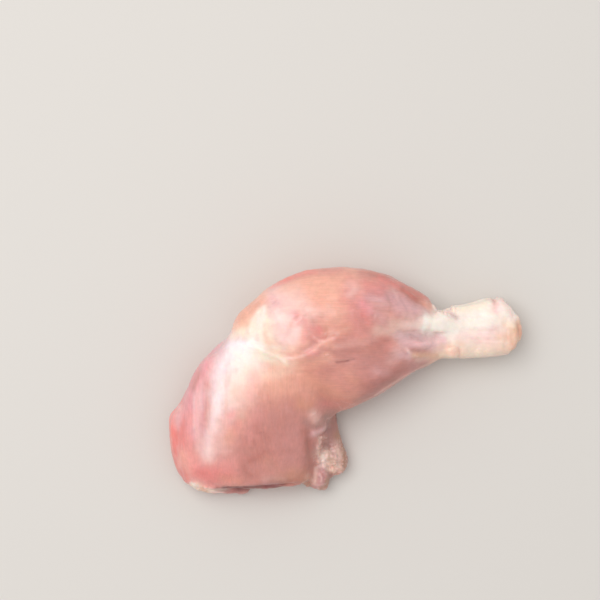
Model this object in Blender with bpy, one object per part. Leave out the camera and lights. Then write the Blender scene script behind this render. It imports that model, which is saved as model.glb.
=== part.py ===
"""A raw, skinless chicken leg quarter lying on its inner side, as one solid.

The thigh is at -X and the shank end at +X. Sizes are in millimetres, and Blender gets metres. +Z is
up, and the origin is under the middle of the leg, on the plane that it rests on. The muscles are
lofts placed from the two bones. One skin is drawn over them all, and the tendons, membranes and
grooves are then worked into that skin as strokes.
"""

import math

import bmesh
import bpy
import numpy as np
from mathutils import Vector

MM = 0.001
UP = Vector((0.0, 0.0, 1.0))

# Driving dimensions: the joints that the two bones run between
KNEE = Vector((-44.0, 23.0, 0.0))
HOCK = Vector((82.0, 27.0, 0.0))
HIP = Vector((-43.0, -50.0, 0.0))

# How the skin is drawn over the muscles
LOFT_SIDES = 28
LOFT_RINGS = 30
SKIN_CELL = 1.1
SKIN_TRIANGLES = 9500
MEAT_FILLET = 9.0
SHANK_FILLET = 3.0
FLAP_FILLET = 1.5
SEAM_FILLET = 1.5
STROKE_DABS = 40
STROKE_FADE = 0.25
SLIVER = 0.02

MEAT_COLOUR = (0.62, 0.30, 0.23, 1.0)
WET_ROUGHNESS = 0.35


class Bone:
    """A straight bone, which the muscles round it and the strokes along it are placed from."""

    def __init__(self, start, finish):
        self.start = start
        self.axis = finish - start
        self.side = UP.cross(self.axis).normalized()

    def spot(self, along, across):
        """The place, seen from above, at a share of the bone's length and millimetres across it."""
        place = self.start + self.axis * along + self.side * across
        return place.x, place.y

    def section(self, along, across, up, wide, high):
        """A section of a muscle: its spot, its height, and its half width and half height."""
        return (*self.spot(along, across), up, wide, high)


SHIN_BONE = Bone(KNEE, HOCK)
THIGH_BONE = Bone(KNEE, HIP)


def signed_power(value, power):
    return math.copysign(abs(value) ** power, value)


def between(sections, t):
    """The section at share t of the way along, on a smooth curve through the ones given."""
    spans = len(sections) - 1
    first = min(int(t * spans), spans - 1)
    u = t * spans - first
    before, start, finish, after = (sections[min(max(first + k, 0), spans)] for k in (-1, 0, 1, 2))
    return 0.5 * (
        2.0 * start
        + (finish - before) * u
        + (2.0 * before - 5.0 * start + 4.0 * finish - after) * u ** 2
        + (3.0 * start - before - 3.0 * finish + after) * u ** 3
    )


def loft(clay, sections, squareness=2.2, rounded=0.12):
    """Adds a closed body through the sections to clay: a sphere drawn out along them.

    squareness is the power of its outline in section, and rounded the share of its length that
    each end takes to close.
    """
    sections = np.array(sections)
    corner = 2.0 / squareness
    step = 0.01
    ball = bmesh.ops.create_uvsphere(clay, u_segments=LOFT_SIDES, v_segments=LOFT_RINGS, radius=1.0)
    for vert in ball["verts"]:
        t = 0.5 * (1.0 + vert.co.z)
        around = math.atan2(vert.co.y, vert.co.x)
        from_end = min(1.0, min(t, 1.0 - t) / rounded)
        ending = math.sqrt(max(0.0, from_end * (2.0 - from_end)))
        x, y, z, wide, high = between(sections, t)
        behind = between(sections, max(t - step, 0.0))
        ahead = between(sections, min(t + step, 1.0))
        axis = Vector(ahead[:3] - behind[:3]).normalized()
        side = UP.cross(axis).normalized()
        across = signed_power(math.cos(around), corner) * wide * ending
        above = signed_power(math.sin(around), corner) * high * ending
        vert.co = Vector((x, y, z)) + side * across + axis.cross(side) * above


def drumstick(clay):
    """The muscles round the shin bone, which end in tendons towards the hock."""
    section = SHIN_BONE.section
    body = (
        section(-0.09, 1, 18, 11, 12),
        section(0.01, 2, 21, 15, 19),
        section(0.11, 4.5, 22, 22, 23),
        section(0.22, 5, 22, 27.5, 24),
        section(0.36, 4, 22, 28.5, 24),
        section(0.50, 2, 21, 26, 22),
        section(0.62, 0, 18, 19.5, 18),
        section(0.71, -3, 16, 11, 13),
    )
    calf = (
        section(0.08, -16, 16, 12, 14),
        section(0.26, -16, 19, 23.5, 20),
        section(0.42, -13, 20, 20.5, 19),
        section(0.56, -9, 18, 14.5, 16),
        section(0.68, -7, 15, 10, 13),
        section(0.78, -6.5, 14, 7, 11),
    )
    loft(clay, body)
    loft(clay, calf)


def thigh(clay):
    """The broad outer muscle, the roll along the front edge and the muscle behind the bone."""
    section = THIGH_BONE.section
    broad = (
        section(-0.06, -2, 18, 14, 14),
        section(0.14, 1, 19, 24, 20),
        section(0.42, -3, 18, 33, 21),
        section(0.72, -6, 16, 36, 18),
        section(0.93, -6, 13, 33.5, 14),
        section(1.03, -6, 11, 30, 11),
    )
    front = (
        section(0.04, -10, 13, 7, 9),
        section(0.25, -19.5, 14, 9.5, 12),
        section(0.48, -28, 14, 11.5, 13),
        section(0.72, -33, 12, 12, 12),
        section(0.90, -31.5, 10, 10.5, 9),
        section(1.01, -27, 8, 8, 7),
    )
    rear = (
        section(0.97, 16, 9, 11, 9),
        section(0.72, 18, 14, 14, 14),
        section(0.42, 22, 18, 16, 17),
        section(0.20, 34, 18, 14, 16),
    )
    fat_tag = (
        section(1.00, -34, 8, 4, 5),
        section(1.035, -26, 7, 5, 5),
        section(1.055, -16, 6, 4, 4),
        section(1.05, -6, 5, 4, 3),
    )
    loft(clay, broad, 2.5, 0.07)
    loft(clay, front)
    loft(clay, rear)
    loft(clay, fat_tag)


def shank(clay):
    """The bare shaft of the bone wrapped in tendons, and the two knuckles of the hock joint."""
    section = SHIN_BONE.section
    tendons = (
        section(0.60, -3, 15, 8, 10),
        section(0.73, -3, 15, 12, 12),
        section(0.80, -2.2, 14, 13.2, 12),
        section(0.88, -1.2, 13, 14, 12),
        section(0.95, 0, 12.5, 14.5, 13),
    )
    knuckles = (
        section(0.94, 15, 12.5, 7, 9),
        section(0.94, 9, 12.5, 11, 13),
        section(0.94, -1, 12.5, 14.2, 11.5),
        section(0.94, -8, 12.5, 13.5, 13),
        section(0.94, -14.5, 12.5, 10, 9),
    )
    loft(clay, tendons, 2.5, 0.06)
    loft(clay, knuckles, 2.8, 0.15)


def flap(clay):
    """The trimmed edge behind the thigh: a low strip of muscle under lumps of fat."""
    section = THIGH_BONE.section
    strip = (
        section(0.46, 30, 9, 8, 9),
        section(0.62, 30.5, 8, 9, 8.5),
        section(0.78, 32.5, 7.5, 9.5, 8),
        section(0.88, 34.5, 7, 10, 7.5),
        section(0.95, 33.5, 6, 8.5, 6),
    )
    muscle_end = (
        section(0.80, 29, 9, 6, 7),
        section(0.94, 28.5, 8, 7.5, 7),
        section(1.09, 28, 7, 6, 6),
    )
    loft(clay, strip, 3.0, 0.1)
    loft(clay, muscle_end, 2.4, 0.2)
    fat_lumps = (
        section(0.54, 29, 15, 7, 4),
        section(0.64, 28, 14, 5, 3.5),
        section(0.70, 35, 12, 5, 3),
        section(0.80, 33, 13, 6, 3.5),
        section(0.86, 38, 11, 5, 3.5),
        section(0.89, 32, 12, 4, 3),
    )
    for x, y, up, wide, high in fat_lumps:
        loft(clay, ((x, y + wide, up, wide, high), (x, y - wide, up, wide, high)), 2.0, 0.5)


def skin_over(name, clay, fillet):
    """The mesh of one skin over every body in clay, with its creases filled to that radius."""
    mesh = bpy.data.meshes.new(name)
    clay.to_mesh(mesh)
    clay.free()
    model = bpy.data.objects.new(name, mesh)
    bpy.context.scene.collection.objects.link(model)
    for step, offset in (("swell", fillet), ("shrink", -fillet)):
        fuse = model.modifiers.new("fuse_" + step, "REMESH")
        fuse.mode = "VOXEL"
        fuse.voxel_size = SKIN_CELL
        grow = model.modifiers.new(step, "DISPLACE")
        grow.mid_level = 0.0
        grow.strength = offset
    fuse = model.modifiers.new("fuse_last", "REMESH")
    fuse.mode = "VOXEL"
    fuse.voxel_size = SKIN_CELL
    smooth = model.modifiers.new("soften", "SMOOTH")
    smooth.iterations = 8
    smooth.factor = 0.5
    graph = bpy.context.evaluated_depsgraph_get()
    made = bpy.data.meshes.new_from_object(model.evaluated_get(graph))
    bpy.data.objects.remove(model)
    return made


def sculpted(name, fillet, *builders):
    clay = bmesh.new()
    for build in builders:
        build(clay)
    return skin_over(name, clay, fillet)


def relief_strokes():
    """The strokes worked into the skin's upper side: the spots that each runs through, its half
    width, and how far it rises, or sinks where that is negative."""
    shin = SHIN_BONE.spot
    femur = THIGH_BONE.spot
    return (
        # The membrane that folds over the seam behind the knee, and the strand that leaves it
        ((shin(-0.04, -4), shin(0.05, -8), shin(0.10, -11), shin(0.15, -17)), 2.2, 1.4),
        ((shin(0.12, -13), shin(0.18, -11), shin(0.25, -7), shin(0.33, 0)), 2.0, 1.0),
        # The cap of the knee, and the edge of fat that runs from it up the drumstick
        ((shin(-0.08, 0), shin(-0.02, -5), shin(0.03, -7)), 8.0, 1.6),
        ((shin(-0.06, 9), shin(0.02, 15), shin(0.09, 21)), 4.0, 0.7),
        # The head of the shin muscle, and the hollow behind it
        ((shin(0.06, 10), shin(0.12, 8), shin(0.17, 5)), 8.0, 1.0),
        ((shin(0.19, 5), shin(0.24, 4), shin(0.30, 2)), 4.5, -1.1),
        # The tendon that gathers the drumstick's muscles, and the hollow under it
        ((shin(0.52, 9), shin(0.63, 7), shin(0.74, 4), shin(0.92, 3)), 4.0, 1.5),
        ((shin(0.46, 0), shin(0.58, -2), shin(0.74, -3)), 3.0, -1.4),
        ((shin(0.48, -9), shin(0.60, -8), shin(0.76, -9)), 3.0, 0.7),
        # The muscle that wraps the top edge of the drumstick
        ((shin(0.36, 24), shin(0.52, 19), shin(0.68, 9)), 2.5, -0.6),
        # The roll along the thigh's front edge, between two shallow seams
        ((femur(0.08, -12), femur(0.40, -25), femur(0.90, -27)), 3.0, -0.8),
        ((femur(0.35, -33), femur(0.62, -40), femur(0.92, -37)), 2.2, -0.6),
        # The lip along the cut at the thigh's end, over a hollow
        ((femur(0.99, -37), femur(1.045, -12), femur(1.01, 16)), 2.0, -1.2),
        # The notch and the stubs of tendon where the shank begins
        ((shin(0.735, 9), shin(0.755, 8), shin(0.78, 6)), 2.2, -1.3),
        ((shin(0.78, 9), shin(0.82, 9.5), shin(0.88, 11)), 2.2, 0.8),
        ((shin(0.74, -11), shin(0.78, -12), shin(0.82, -12)), 2.6, 1.1),
        ((shin(0.87, -12), shin(0.90, -12.5), shin(0.93, -12)), 2.6, 0.8),
        # The cleft between the knuckles
        ((shin(0.92, 12), shin(0.95, 6), shin(0.955, -4)), 2.4, -0.8),
    )


def stroke_shape(points, spots, half_width):
    """How strongly a stroke acts at each point, from 0 to 1: it fades to its sides and its ends."""
    shape = np.zeros(len(points))
    spots = np.array(spots)
    for t in np.linspace(0.0, 1.0, STROKE_DABS):
        from_end = min(t, 1.0 - t) / STROKE_FADE
        reach = np.linalg.norm(points - between(spots, t), axis=1) / half_width
        shape = np.maximum(shape, min(1.0, from_end) * np.exp(-reach ** 2))
    return shape


def work_strokes(mesh):
    """Raises or sinks the upper side of the skin along each stroke."""
    count = len(mesh.vertices)
    places = np.empty(count * 3, np.float32)
    normals = np.empty(count * 3, np.float32)
    mesh.vertices.foreach_get("co", places)
    mesh.vertices.foreach_get("normal", normals)
    places = places.reshape(-1, 3)
    normals = normals.reshape(-1, 3)
    facing_up = np.sqrt(np.clip(normals[:, 2], 0.0, 1.0))
    rise = np.zeros(count)
    for spots, half_width, height in relief_strokes():
        rise += height * stroke_shape(places[:, :2], spots, half_width) * facing_up
    mesh.vertices.foreach_set("co", (places + normals * rise[:, None]).astype(np.float32).ravel())
    mesh.update()


def thinned(mesh, triangles):
    """A copy of the mesh with about that many triangles, most of them where it is most curved."""
    model = bpy.data.objects.new("thinned", mesh)
    bpy.context.scene.collection.objects.link(model)
    fewer = model.modifiers.new("fewer", "DECIMATE")
    fewer.ratio = triangles / sum(len(face.vertices) - 2 for face in mesh.polygons)
    graph = bpy.context.evaluated_depsgraph_get()
    made = bpy.data.meshes.new_from_object(model.evaluated_get(graph))
    bpy.data.objects.remove(model)
    return made


def settle(mesh):
    """Cuts the underside flat where the flesh rests, and puts the origin under the middle."""
    clay = bmesh.new()
    clay.from_mesh(mesh)
    everything = clay.verts[:] + clay.edges[:] + clay.faces[:]
    cut = bmesh.ops.bisect_plane(
        clay, geom=everything, plane_co=(0, 0, 0), plane_no=-UP, clear_outer=True, dist=SLIVER)
    rim = [item for item in cut["geom_cut"] if isinstance(item, bmesh.types.BMEdge)]
    bmesh.ops.holes_fill(clay, edges=rim, sides=0)
    bmesh.ops.triangulate(clay, faces=clay.faces[:])
    for vert in clay.verts:
        if vert.co.z < SLIVER:
            vert.co.z = 0.0
    low = Vector([min(vert.co[axis] for vert in clay.verts) for axis in range(3)])
    high = Vector([max(vert.co[axis] for vert in clay.verts) for axis in range(3)])
    middle = (low + high) / 2.0
    bmesh.ops.translate(clay, verts=clay.verts, vec=(-middle.x, -middle.y, 0.0))
    bmesh.ops.scale(clay, verts=clay.verts, vec=(MM, MM, MM))
    clay.to_mesh(mesh)
    clay.free()


def raw_meat():
    material = bpy.data.materials.new("raw_meat")
    material.use_nodes = True
    shader = material.node_tree.nodes["Principled BSDF"]
    shader.inputs["Base Color"].default_value = MEAT_COLOUR
    shader.inputs["Roughness"].default_value = WET_ROUGHNESS
    shader.inputs["Metallic"].default_value = 0.0
    return material


def main():
    for old in list(bpy.data.objects):
        bpy.data.objects.remove(old)
    groups = (
        sculpted("meat", MEAT_FILLET, drumstick, thigh),
        sculpted("shank", SHANK_FILLET, shank),
        sculpted("flap", FLAP_FILLET, flap),
    )
    clay = bmesh.new()
    for group in groups:
        clay.from_mesh(group)
    skin = skin_over("leg_quarter", clay, SEAM_FILLET)
    work_strokes(skin)
    skin = thinned(skin, SKIN_TRIANGLES)
    settle(skin)
    skin.materials.append(raw_meat())
    skin.shade_smooth()
    leg = bpy.data.objects.new("leg_quarter", skin)
    bpy.context.scene.collection.objects.link(leg)


main()
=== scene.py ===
"""Dresses a raw, skinless chicken leg quarter: its sculpted and painted flesh and the stage.

The leg lies on its inner side, seen from straight above. Places on it are given as it is seen in
plan, in millimetres from the middle of the leg: +X runs to the end of the shank and +Y to the top
edge of the drumstick. Its surface is worked in strokes, as a sculptor and then a painter would.
"""

import math
import random

import bpy
import numpy as np
from mathutils import Euler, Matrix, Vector, noise


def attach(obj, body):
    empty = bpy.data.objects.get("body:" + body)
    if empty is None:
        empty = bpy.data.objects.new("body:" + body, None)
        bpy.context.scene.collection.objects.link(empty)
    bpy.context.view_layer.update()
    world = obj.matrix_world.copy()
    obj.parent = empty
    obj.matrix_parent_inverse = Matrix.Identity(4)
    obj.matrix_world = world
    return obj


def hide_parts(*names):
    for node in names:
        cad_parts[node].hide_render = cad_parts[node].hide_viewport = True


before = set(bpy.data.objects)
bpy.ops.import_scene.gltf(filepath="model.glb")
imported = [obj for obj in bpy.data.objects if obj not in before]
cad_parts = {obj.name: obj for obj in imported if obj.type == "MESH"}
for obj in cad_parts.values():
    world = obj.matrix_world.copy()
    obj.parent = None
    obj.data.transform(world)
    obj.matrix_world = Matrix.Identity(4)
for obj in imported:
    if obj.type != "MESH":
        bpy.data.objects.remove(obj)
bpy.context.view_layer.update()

bl_info = {
    "name": "Raw Chicken Leg Quarter",
    "version": (1, 0, 0),
    "blender": (4, 5, 0),
    "location": "View3D > Sidebar > Leg Quarter",
    "description": "Sculpts, paints and stages a raw chicken leg quarter on its CAD frame",
    "category": "Add Mesh",
}

MM = 0.001
NODE = "leg_quarter"
PIECE = "leg_flesh"
PAINT = "flesh_paint"
FINISH = "flesh_finish"


def rgb(red, green, blue):
    """A display colour from 0 to 255 in each channel, as a tuple from 0 to 1."""
    return (red / 255.0, green / 255.0, blue / 255.0)


def linear(colour):
    """A display colour as scene-linear light."""
    channels = np.asarray(colour, float)
    return np.where(channels <= 0.04045, channels / 12.92, ((channels + 0.055) / 1.055) ** 2.4)


def length(name, description, default):
    return bpy.props.FloatProperty(
        name=name, description=description, default=default, min=0.0,
        subtype="DISTANCE", unit="LENGTH")


def amount(name, description, default):
    return bpy.props.FloatProperty(name=name, description=description, default=default, min=0.0)


def count(name, description, default):
    return bpy.props.IntProperty(name=name, description=description, default=default, min=0)


def tint(name, description, red, green, blue):
    return bpy.props.FloatVectorProperty(
        name=name, description=description, size=3, min=0.0, max=1.0,
        default=rgb(red, green, blue), subtype="COLOR_GAMMA")


class LegForm(bpy.types.PropertyGroup):
    """Sizes and strengths of the sculpting"""

    cell: length("Cell", "Spacing of the sculpted surface's points", 0.5 * MM)
    triangles: count("Triangles", "Most triangles that the flesh may have", 190000)
    relief: amount("Relief", "How strongly the sculpting strokes act", 1.0)
    lumpiness: length("Lumpiness", "Height of the flesh's soft unevenness", 0.3 * MM)
    graininess: length("Graininess", "Height of the fibres that run along the muscles", 0.04 * MM)
    bundles: length("Bundles", "Height of the bundles of muscle on the sides", 0.5 * MM)
    lobule: length("Lobule", "Usual radius of a lobule of fat", 1.3 * MM)
    seed: count("Seed", "Seed of the random draws", 7)


class LegColours(bpy.types.PropertyGroup):
    """Colours of the flesh, the fat and the gristle"""

    meat: tint("Meat", "Lean thigh and calf muscle", 206, 138, 128)
    # Dark meat: darker lean muscle, and painted shade in grooves, in hollows, on the cut face and along
    # the lower edges
    meat_dark: tint("Dark meat", "Lean muscle in the grooves", 172, 104, 92)
    meat_brown: tint("Brown meat", "Muscle under a dry membrane", 198, 134, 126)
    rose: tint("Rose", "Freshly cut pink muscle", 238, 160, 153)
    salmon: tint("Salmon", "Bright thin flesh at the edges", 255, 128, 120)
    ochre: tint("Ochre", "Yellowish lean between the thigh and the calf", 204, 142, 112)
    red: tint("Red", "Blood-tinged muscle at the edges", 226, 126, 120)
    magenta: tint("Magenta pink", "Pink muscle under the front membrane", 230, 160, 168)
    orange: tint("Orange", "Muscle under yellow fat", 219, 150, 128)
    coral: tint("Coral", "Muscle that shows through a taut membrane", 220, 146, 136)
    peach: tint("Peach", "Pale drumstick muscle", 240, 178, 156)
    blush: tint("Blush", "Pinkish white head of the shin muscle", 250, 210, 203)
    # Blush is also laid on ridges and on the thigh's left edge as painted highlight
    mauve: tint("Mauve", "Muscle under a bluish membrane", 205, 152, 151)
    # Hollow: grey-mauve membrane under the tendon, darkened there as painted shade
    hollow: tint("Hollow", "Grey-mauve hollow under the tendon", 208, 172, 172)
    lilac: tint("Lilac", "Pale pink strip of muscle", 233, 190, 192)
    apricot: tint("Apricot", "Thin flesh over the fat of the knee", 250, 188, 164)
    beige: tint("Beige", "Membrane where muscle turns to tendon", 224, 186, 172)
    cream: tint("Cream", "Tendon and fat", 250, 238, 227)
    # White: taut membrane, and over the knee and along the thigh's front roll partly a painted
    # highlight
    white: tint("White", "Taut membrane over the knee", 250, 237, 240)
    butter: tint("Butter", "Yellowish fat", 250, 233, 210)
    tan: tint("Tan", "Gristle at the end of the bone", 226, 180, 150)
    # Bruise: dark mauve tissue, and painted shade between the flap's lumps, on the lip of the cut and
    # along the calf's lower edge
    bruise: tint("Bruise", "Dark mauve between the lumps of the flap", 160, 116, 108)
    lobule: tint("Lobule", "Grainy fat on the flap", 232, 200, 184)
    # Brown: dried edges, and painted shade along the flap's edges, under its muscle end and at the
    # shank's lower end
    brown: tint("Brown", "Dried edge of the gristle", 170, 128, 100)
    # Vein: fine dark vessels, and painted shade in the dark line along the rim of the thigh's cut
    vein: tint("Vein", "Fine dark vessels", 118, 46, 42)


class LegStage(bpy.types.PropertyGroup):
    """The floor, the camera and the lights"""

    floor_tone: tint("Floor", "Colour of the floor", 212, 207, 201)
    camera_height: length("Camera height", "Height of the camera above the floor", 0.85)
    lens: amount("Lens", "Focal length of the camera in millimetres", 100.0)
    key_power: amount("Key light", "Power of the window-like light in watts", 13.0)
    key_size: length("Key size", "Width of the window-like light", 1.1)
    fill: amount("Fill", "Strength of the light from all round", 0.72)


# The stage, its sizes and places in metres
FLOOR_WIDTH = 6.0
FLOOR_ROUGHNESS = 0.6
LIGHT_PLACE = (-0.5, 0.42, 1.5)
LIGHT_TARGET = (-0.01, 0.0, 0.02)
CAMERA_PLACE = (-0.023, 0.04075)

# Points of the CAD leg that are closer than this are one
MERGE_DISTANCE = 0.01 * MM

# How the lobules of fat vary in size and stretch, how far they sink in and how low they may lie, both
# counted in their radius, and the height in millimetres from which their places are looked for
LOBULE_SIZES = (0.6, 1.15)
LOBULE_STRETCH = (0.75, 1.35)
LOBULE_SINK = 0.35
LOBULE_LOWEST = 1.6
DROP_HEIGHT = 100.0
LOBULE_FINENESS = 2
PAD_FINENESS = 4

# Steps of smoothing: after the lumps are fused, where the surface is softened, and to find hollows
FUSING_STEPS = 8
SOFTENING_STEPS = 60
HOLLOW_STEPS = 8

# Noise patterns: the width of their lumps in millimetres, and a shift that keeps them apart
LUMPS = (9.0, 0.0)
SMALL_LUMPS = (3.5, 5.0)
SMALL_LUMPS_SHARE = 0.4
WANDER_PATTERNS = ((7.0, 3.0), (7.0, 9.0))
RAGGED_SPOTS = (2.2, 11.0)
TONES = (16.0, 21.0)

# Noise that is drawn out along the muscles: its length and width in millimetres, and its shift
FIBRES = (9.0, 1.3, 0.0)
BUNDLES = (32.0, 6.0, 71.0)
RAGGED_STREAKS = (7.0, 1.1, 2.0)
SHIN_SHIFT = 5.0

# How a pattern is spread over the sides: its strength on upright faces, what level ones lose and the
# least that stays
BUNDLE_SPREAD = (1.1, 1.0, 0.2)
LINE_SPREAD = (1.2, 1.2, 0.15)

# Thin lines on the sides: their colour, streaks, patches, the noise where the patches begin and are
# full, half width and strength
THIN_LINES = (
    ("blush", (26.0, 5.0, 33.0), (18.0, 41.0), (-0.05, 0.25), 0.1, 0.25),
    ("vein", (24.0, 8.0, 51.0), (14.0, 61.0), (0.05, 0.3), 0.025, 0.13),
)

# The line between thigh and drumstick: a place on it, its slope and the half width of the change
KNEE_LINE = ((-50.0, 22.0), -0.62, 4.0)

# The heights above the floor, in millimetres, at which the relief begins and is full
RELIEF_RISE = (0.2, 1.5)

# Cobbled fat: how far the gaps sink in, as a share of the lobules' height, and the weakest stroke that
# makes any
GAP_SHARE = 0.4
WEAKEST_COBBLES = 0.02

# Strokes: how far they reach in half widths, the share of their length over which an end fades, and
# how far into the fading it starts
STROKE_REACH = 2.6
FADE_LENGTH = 0.3
FADE_START = 0.04

# Paint: how far its edges wander and from what half width on they do so in full, in millimetres, how
# ragged they are, how fast the strokes from above fade on upright faces, and how much the tone varies
WANDER = 2.0
WANDER_WIDTH = 6.0
RAGGEDNESS = 0.45
TOP_COVER = 5.0
TONE_CHANGE = 0.05

# Depths and heights in millimetres at which the painted shade in hollows and the painted highlight
# on ridges begin and are full, the strength of each, and how much of the shade the hollows lose in fat
HOLLOW_SHADE_DEPTHS = (0.03, 0.3)
HOLLOW_SHADE_STRENGTH = 0.4
HOLLOW_SHADE_IN_FAT = 0.6
RIDGE_HIGHLIGHT_HEIGHTS = (0.03, 0.2)
RIDGE_HIGHLIGHT_STRENGTH = 0.3

# Colours that count as fat, where no fibres show
FATTY = ("cream", "white", "butter", "tan", "lobule", "beige", "blush")

# The flesh's material: lumps to the metre along, across and through the fibres, in the mottling and
# in the grain, the usual range of a noise value, and what that range is turned into
FIBRE_SCALE = (110.0, 1300.0, 900.0)
MOTTLE_SCALE = 320.0
GRAIN_SCALE = 1500.0
NOISE_RANGE = (0.3, 0.7)
FIBRE_TONES = (-0.05, 0.05)
MOTTLE_TONES = (0.94, 1.06)
ROUGHNESSES = (0.36, 0.5)
GRAIN_HEIGHT = 0.35
BUMP = {"Strength": 0.3, "Distance": 0.0003}
MOISTURE = {
    "Subsurface Weight": 0.4,
    "Subsurface Radius": (1.0, 0.4, 0.25),
    "Subsurface Scale": 0.003,
    "Coat Weight": 0.4,
    "Coat Roughness": 0.2,
}

# Clusters of fat lobules that stand proud: the middle, the spread along X and Y and the number
LOBULES = (
    ((-8.5, -38.0), (5.5, 6.5), 34),
    ((-13.0, -31.0), (2.5, 3.0), 7),
    ((-74.0, -53.5), (5.0, 2.0), 12),
    ((51.0, 34.5), (3.0, 1.5), 6),
)

# Pads of tendon that fill a dip: the middle, the three radii and the tilt about Y in degrees
PADS = (
    ((46.8, 29.8, 28.6), (9.5, 5.0, 2.7), 26.0),
)

# Strokes of fat that is cobbled with packed lobules: the side that each is drawn from, its half
# width, the width and height of its lobules, and its spots
COBBLES = (
    ("top", 5.5, 2.6, 0.75, (-10, -34), (-8.5, -40), (-6, -43)),
    ("top", 2.6, 2, 0.5, (-3.5, -31), (-1.5, -38), (-2, -44)),
    ("top", 2, 2.2, 0.45, (-12.5, -28), (-14, -36), (-15, -42)),
    ("top", 1.8, 2.4, 0.6, (48, 34.5), (52, 35.5), (56, 36.5)),
    ("top", 1.8, 2.8, 0.35, (60, 14), (68, 13.5), (76, 14)),
    ("top", 2.2, 3, 0.4, (82, 14), (86, 20), (87, 28), (82, 37)),
    ("top", 1.8, 1.8, 0.5, (73, 43), (78, 42.4), (83, 38.6)),
    ("front", 3.4, 2.2, 0.7, (-80, 14), (-76, 17.5), (-70, 17)),
    ("front", 2.6, 1.9, 0.5, (-76, 9), (-69, 11)),
    ("front", 3.2, 2.3, 0.45, (-6, 13), (-3, 9), (-3, 4)),
    ("right", 4, 2.3, 0.35, (-30, 8), (-40, 8)),
)

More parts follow.
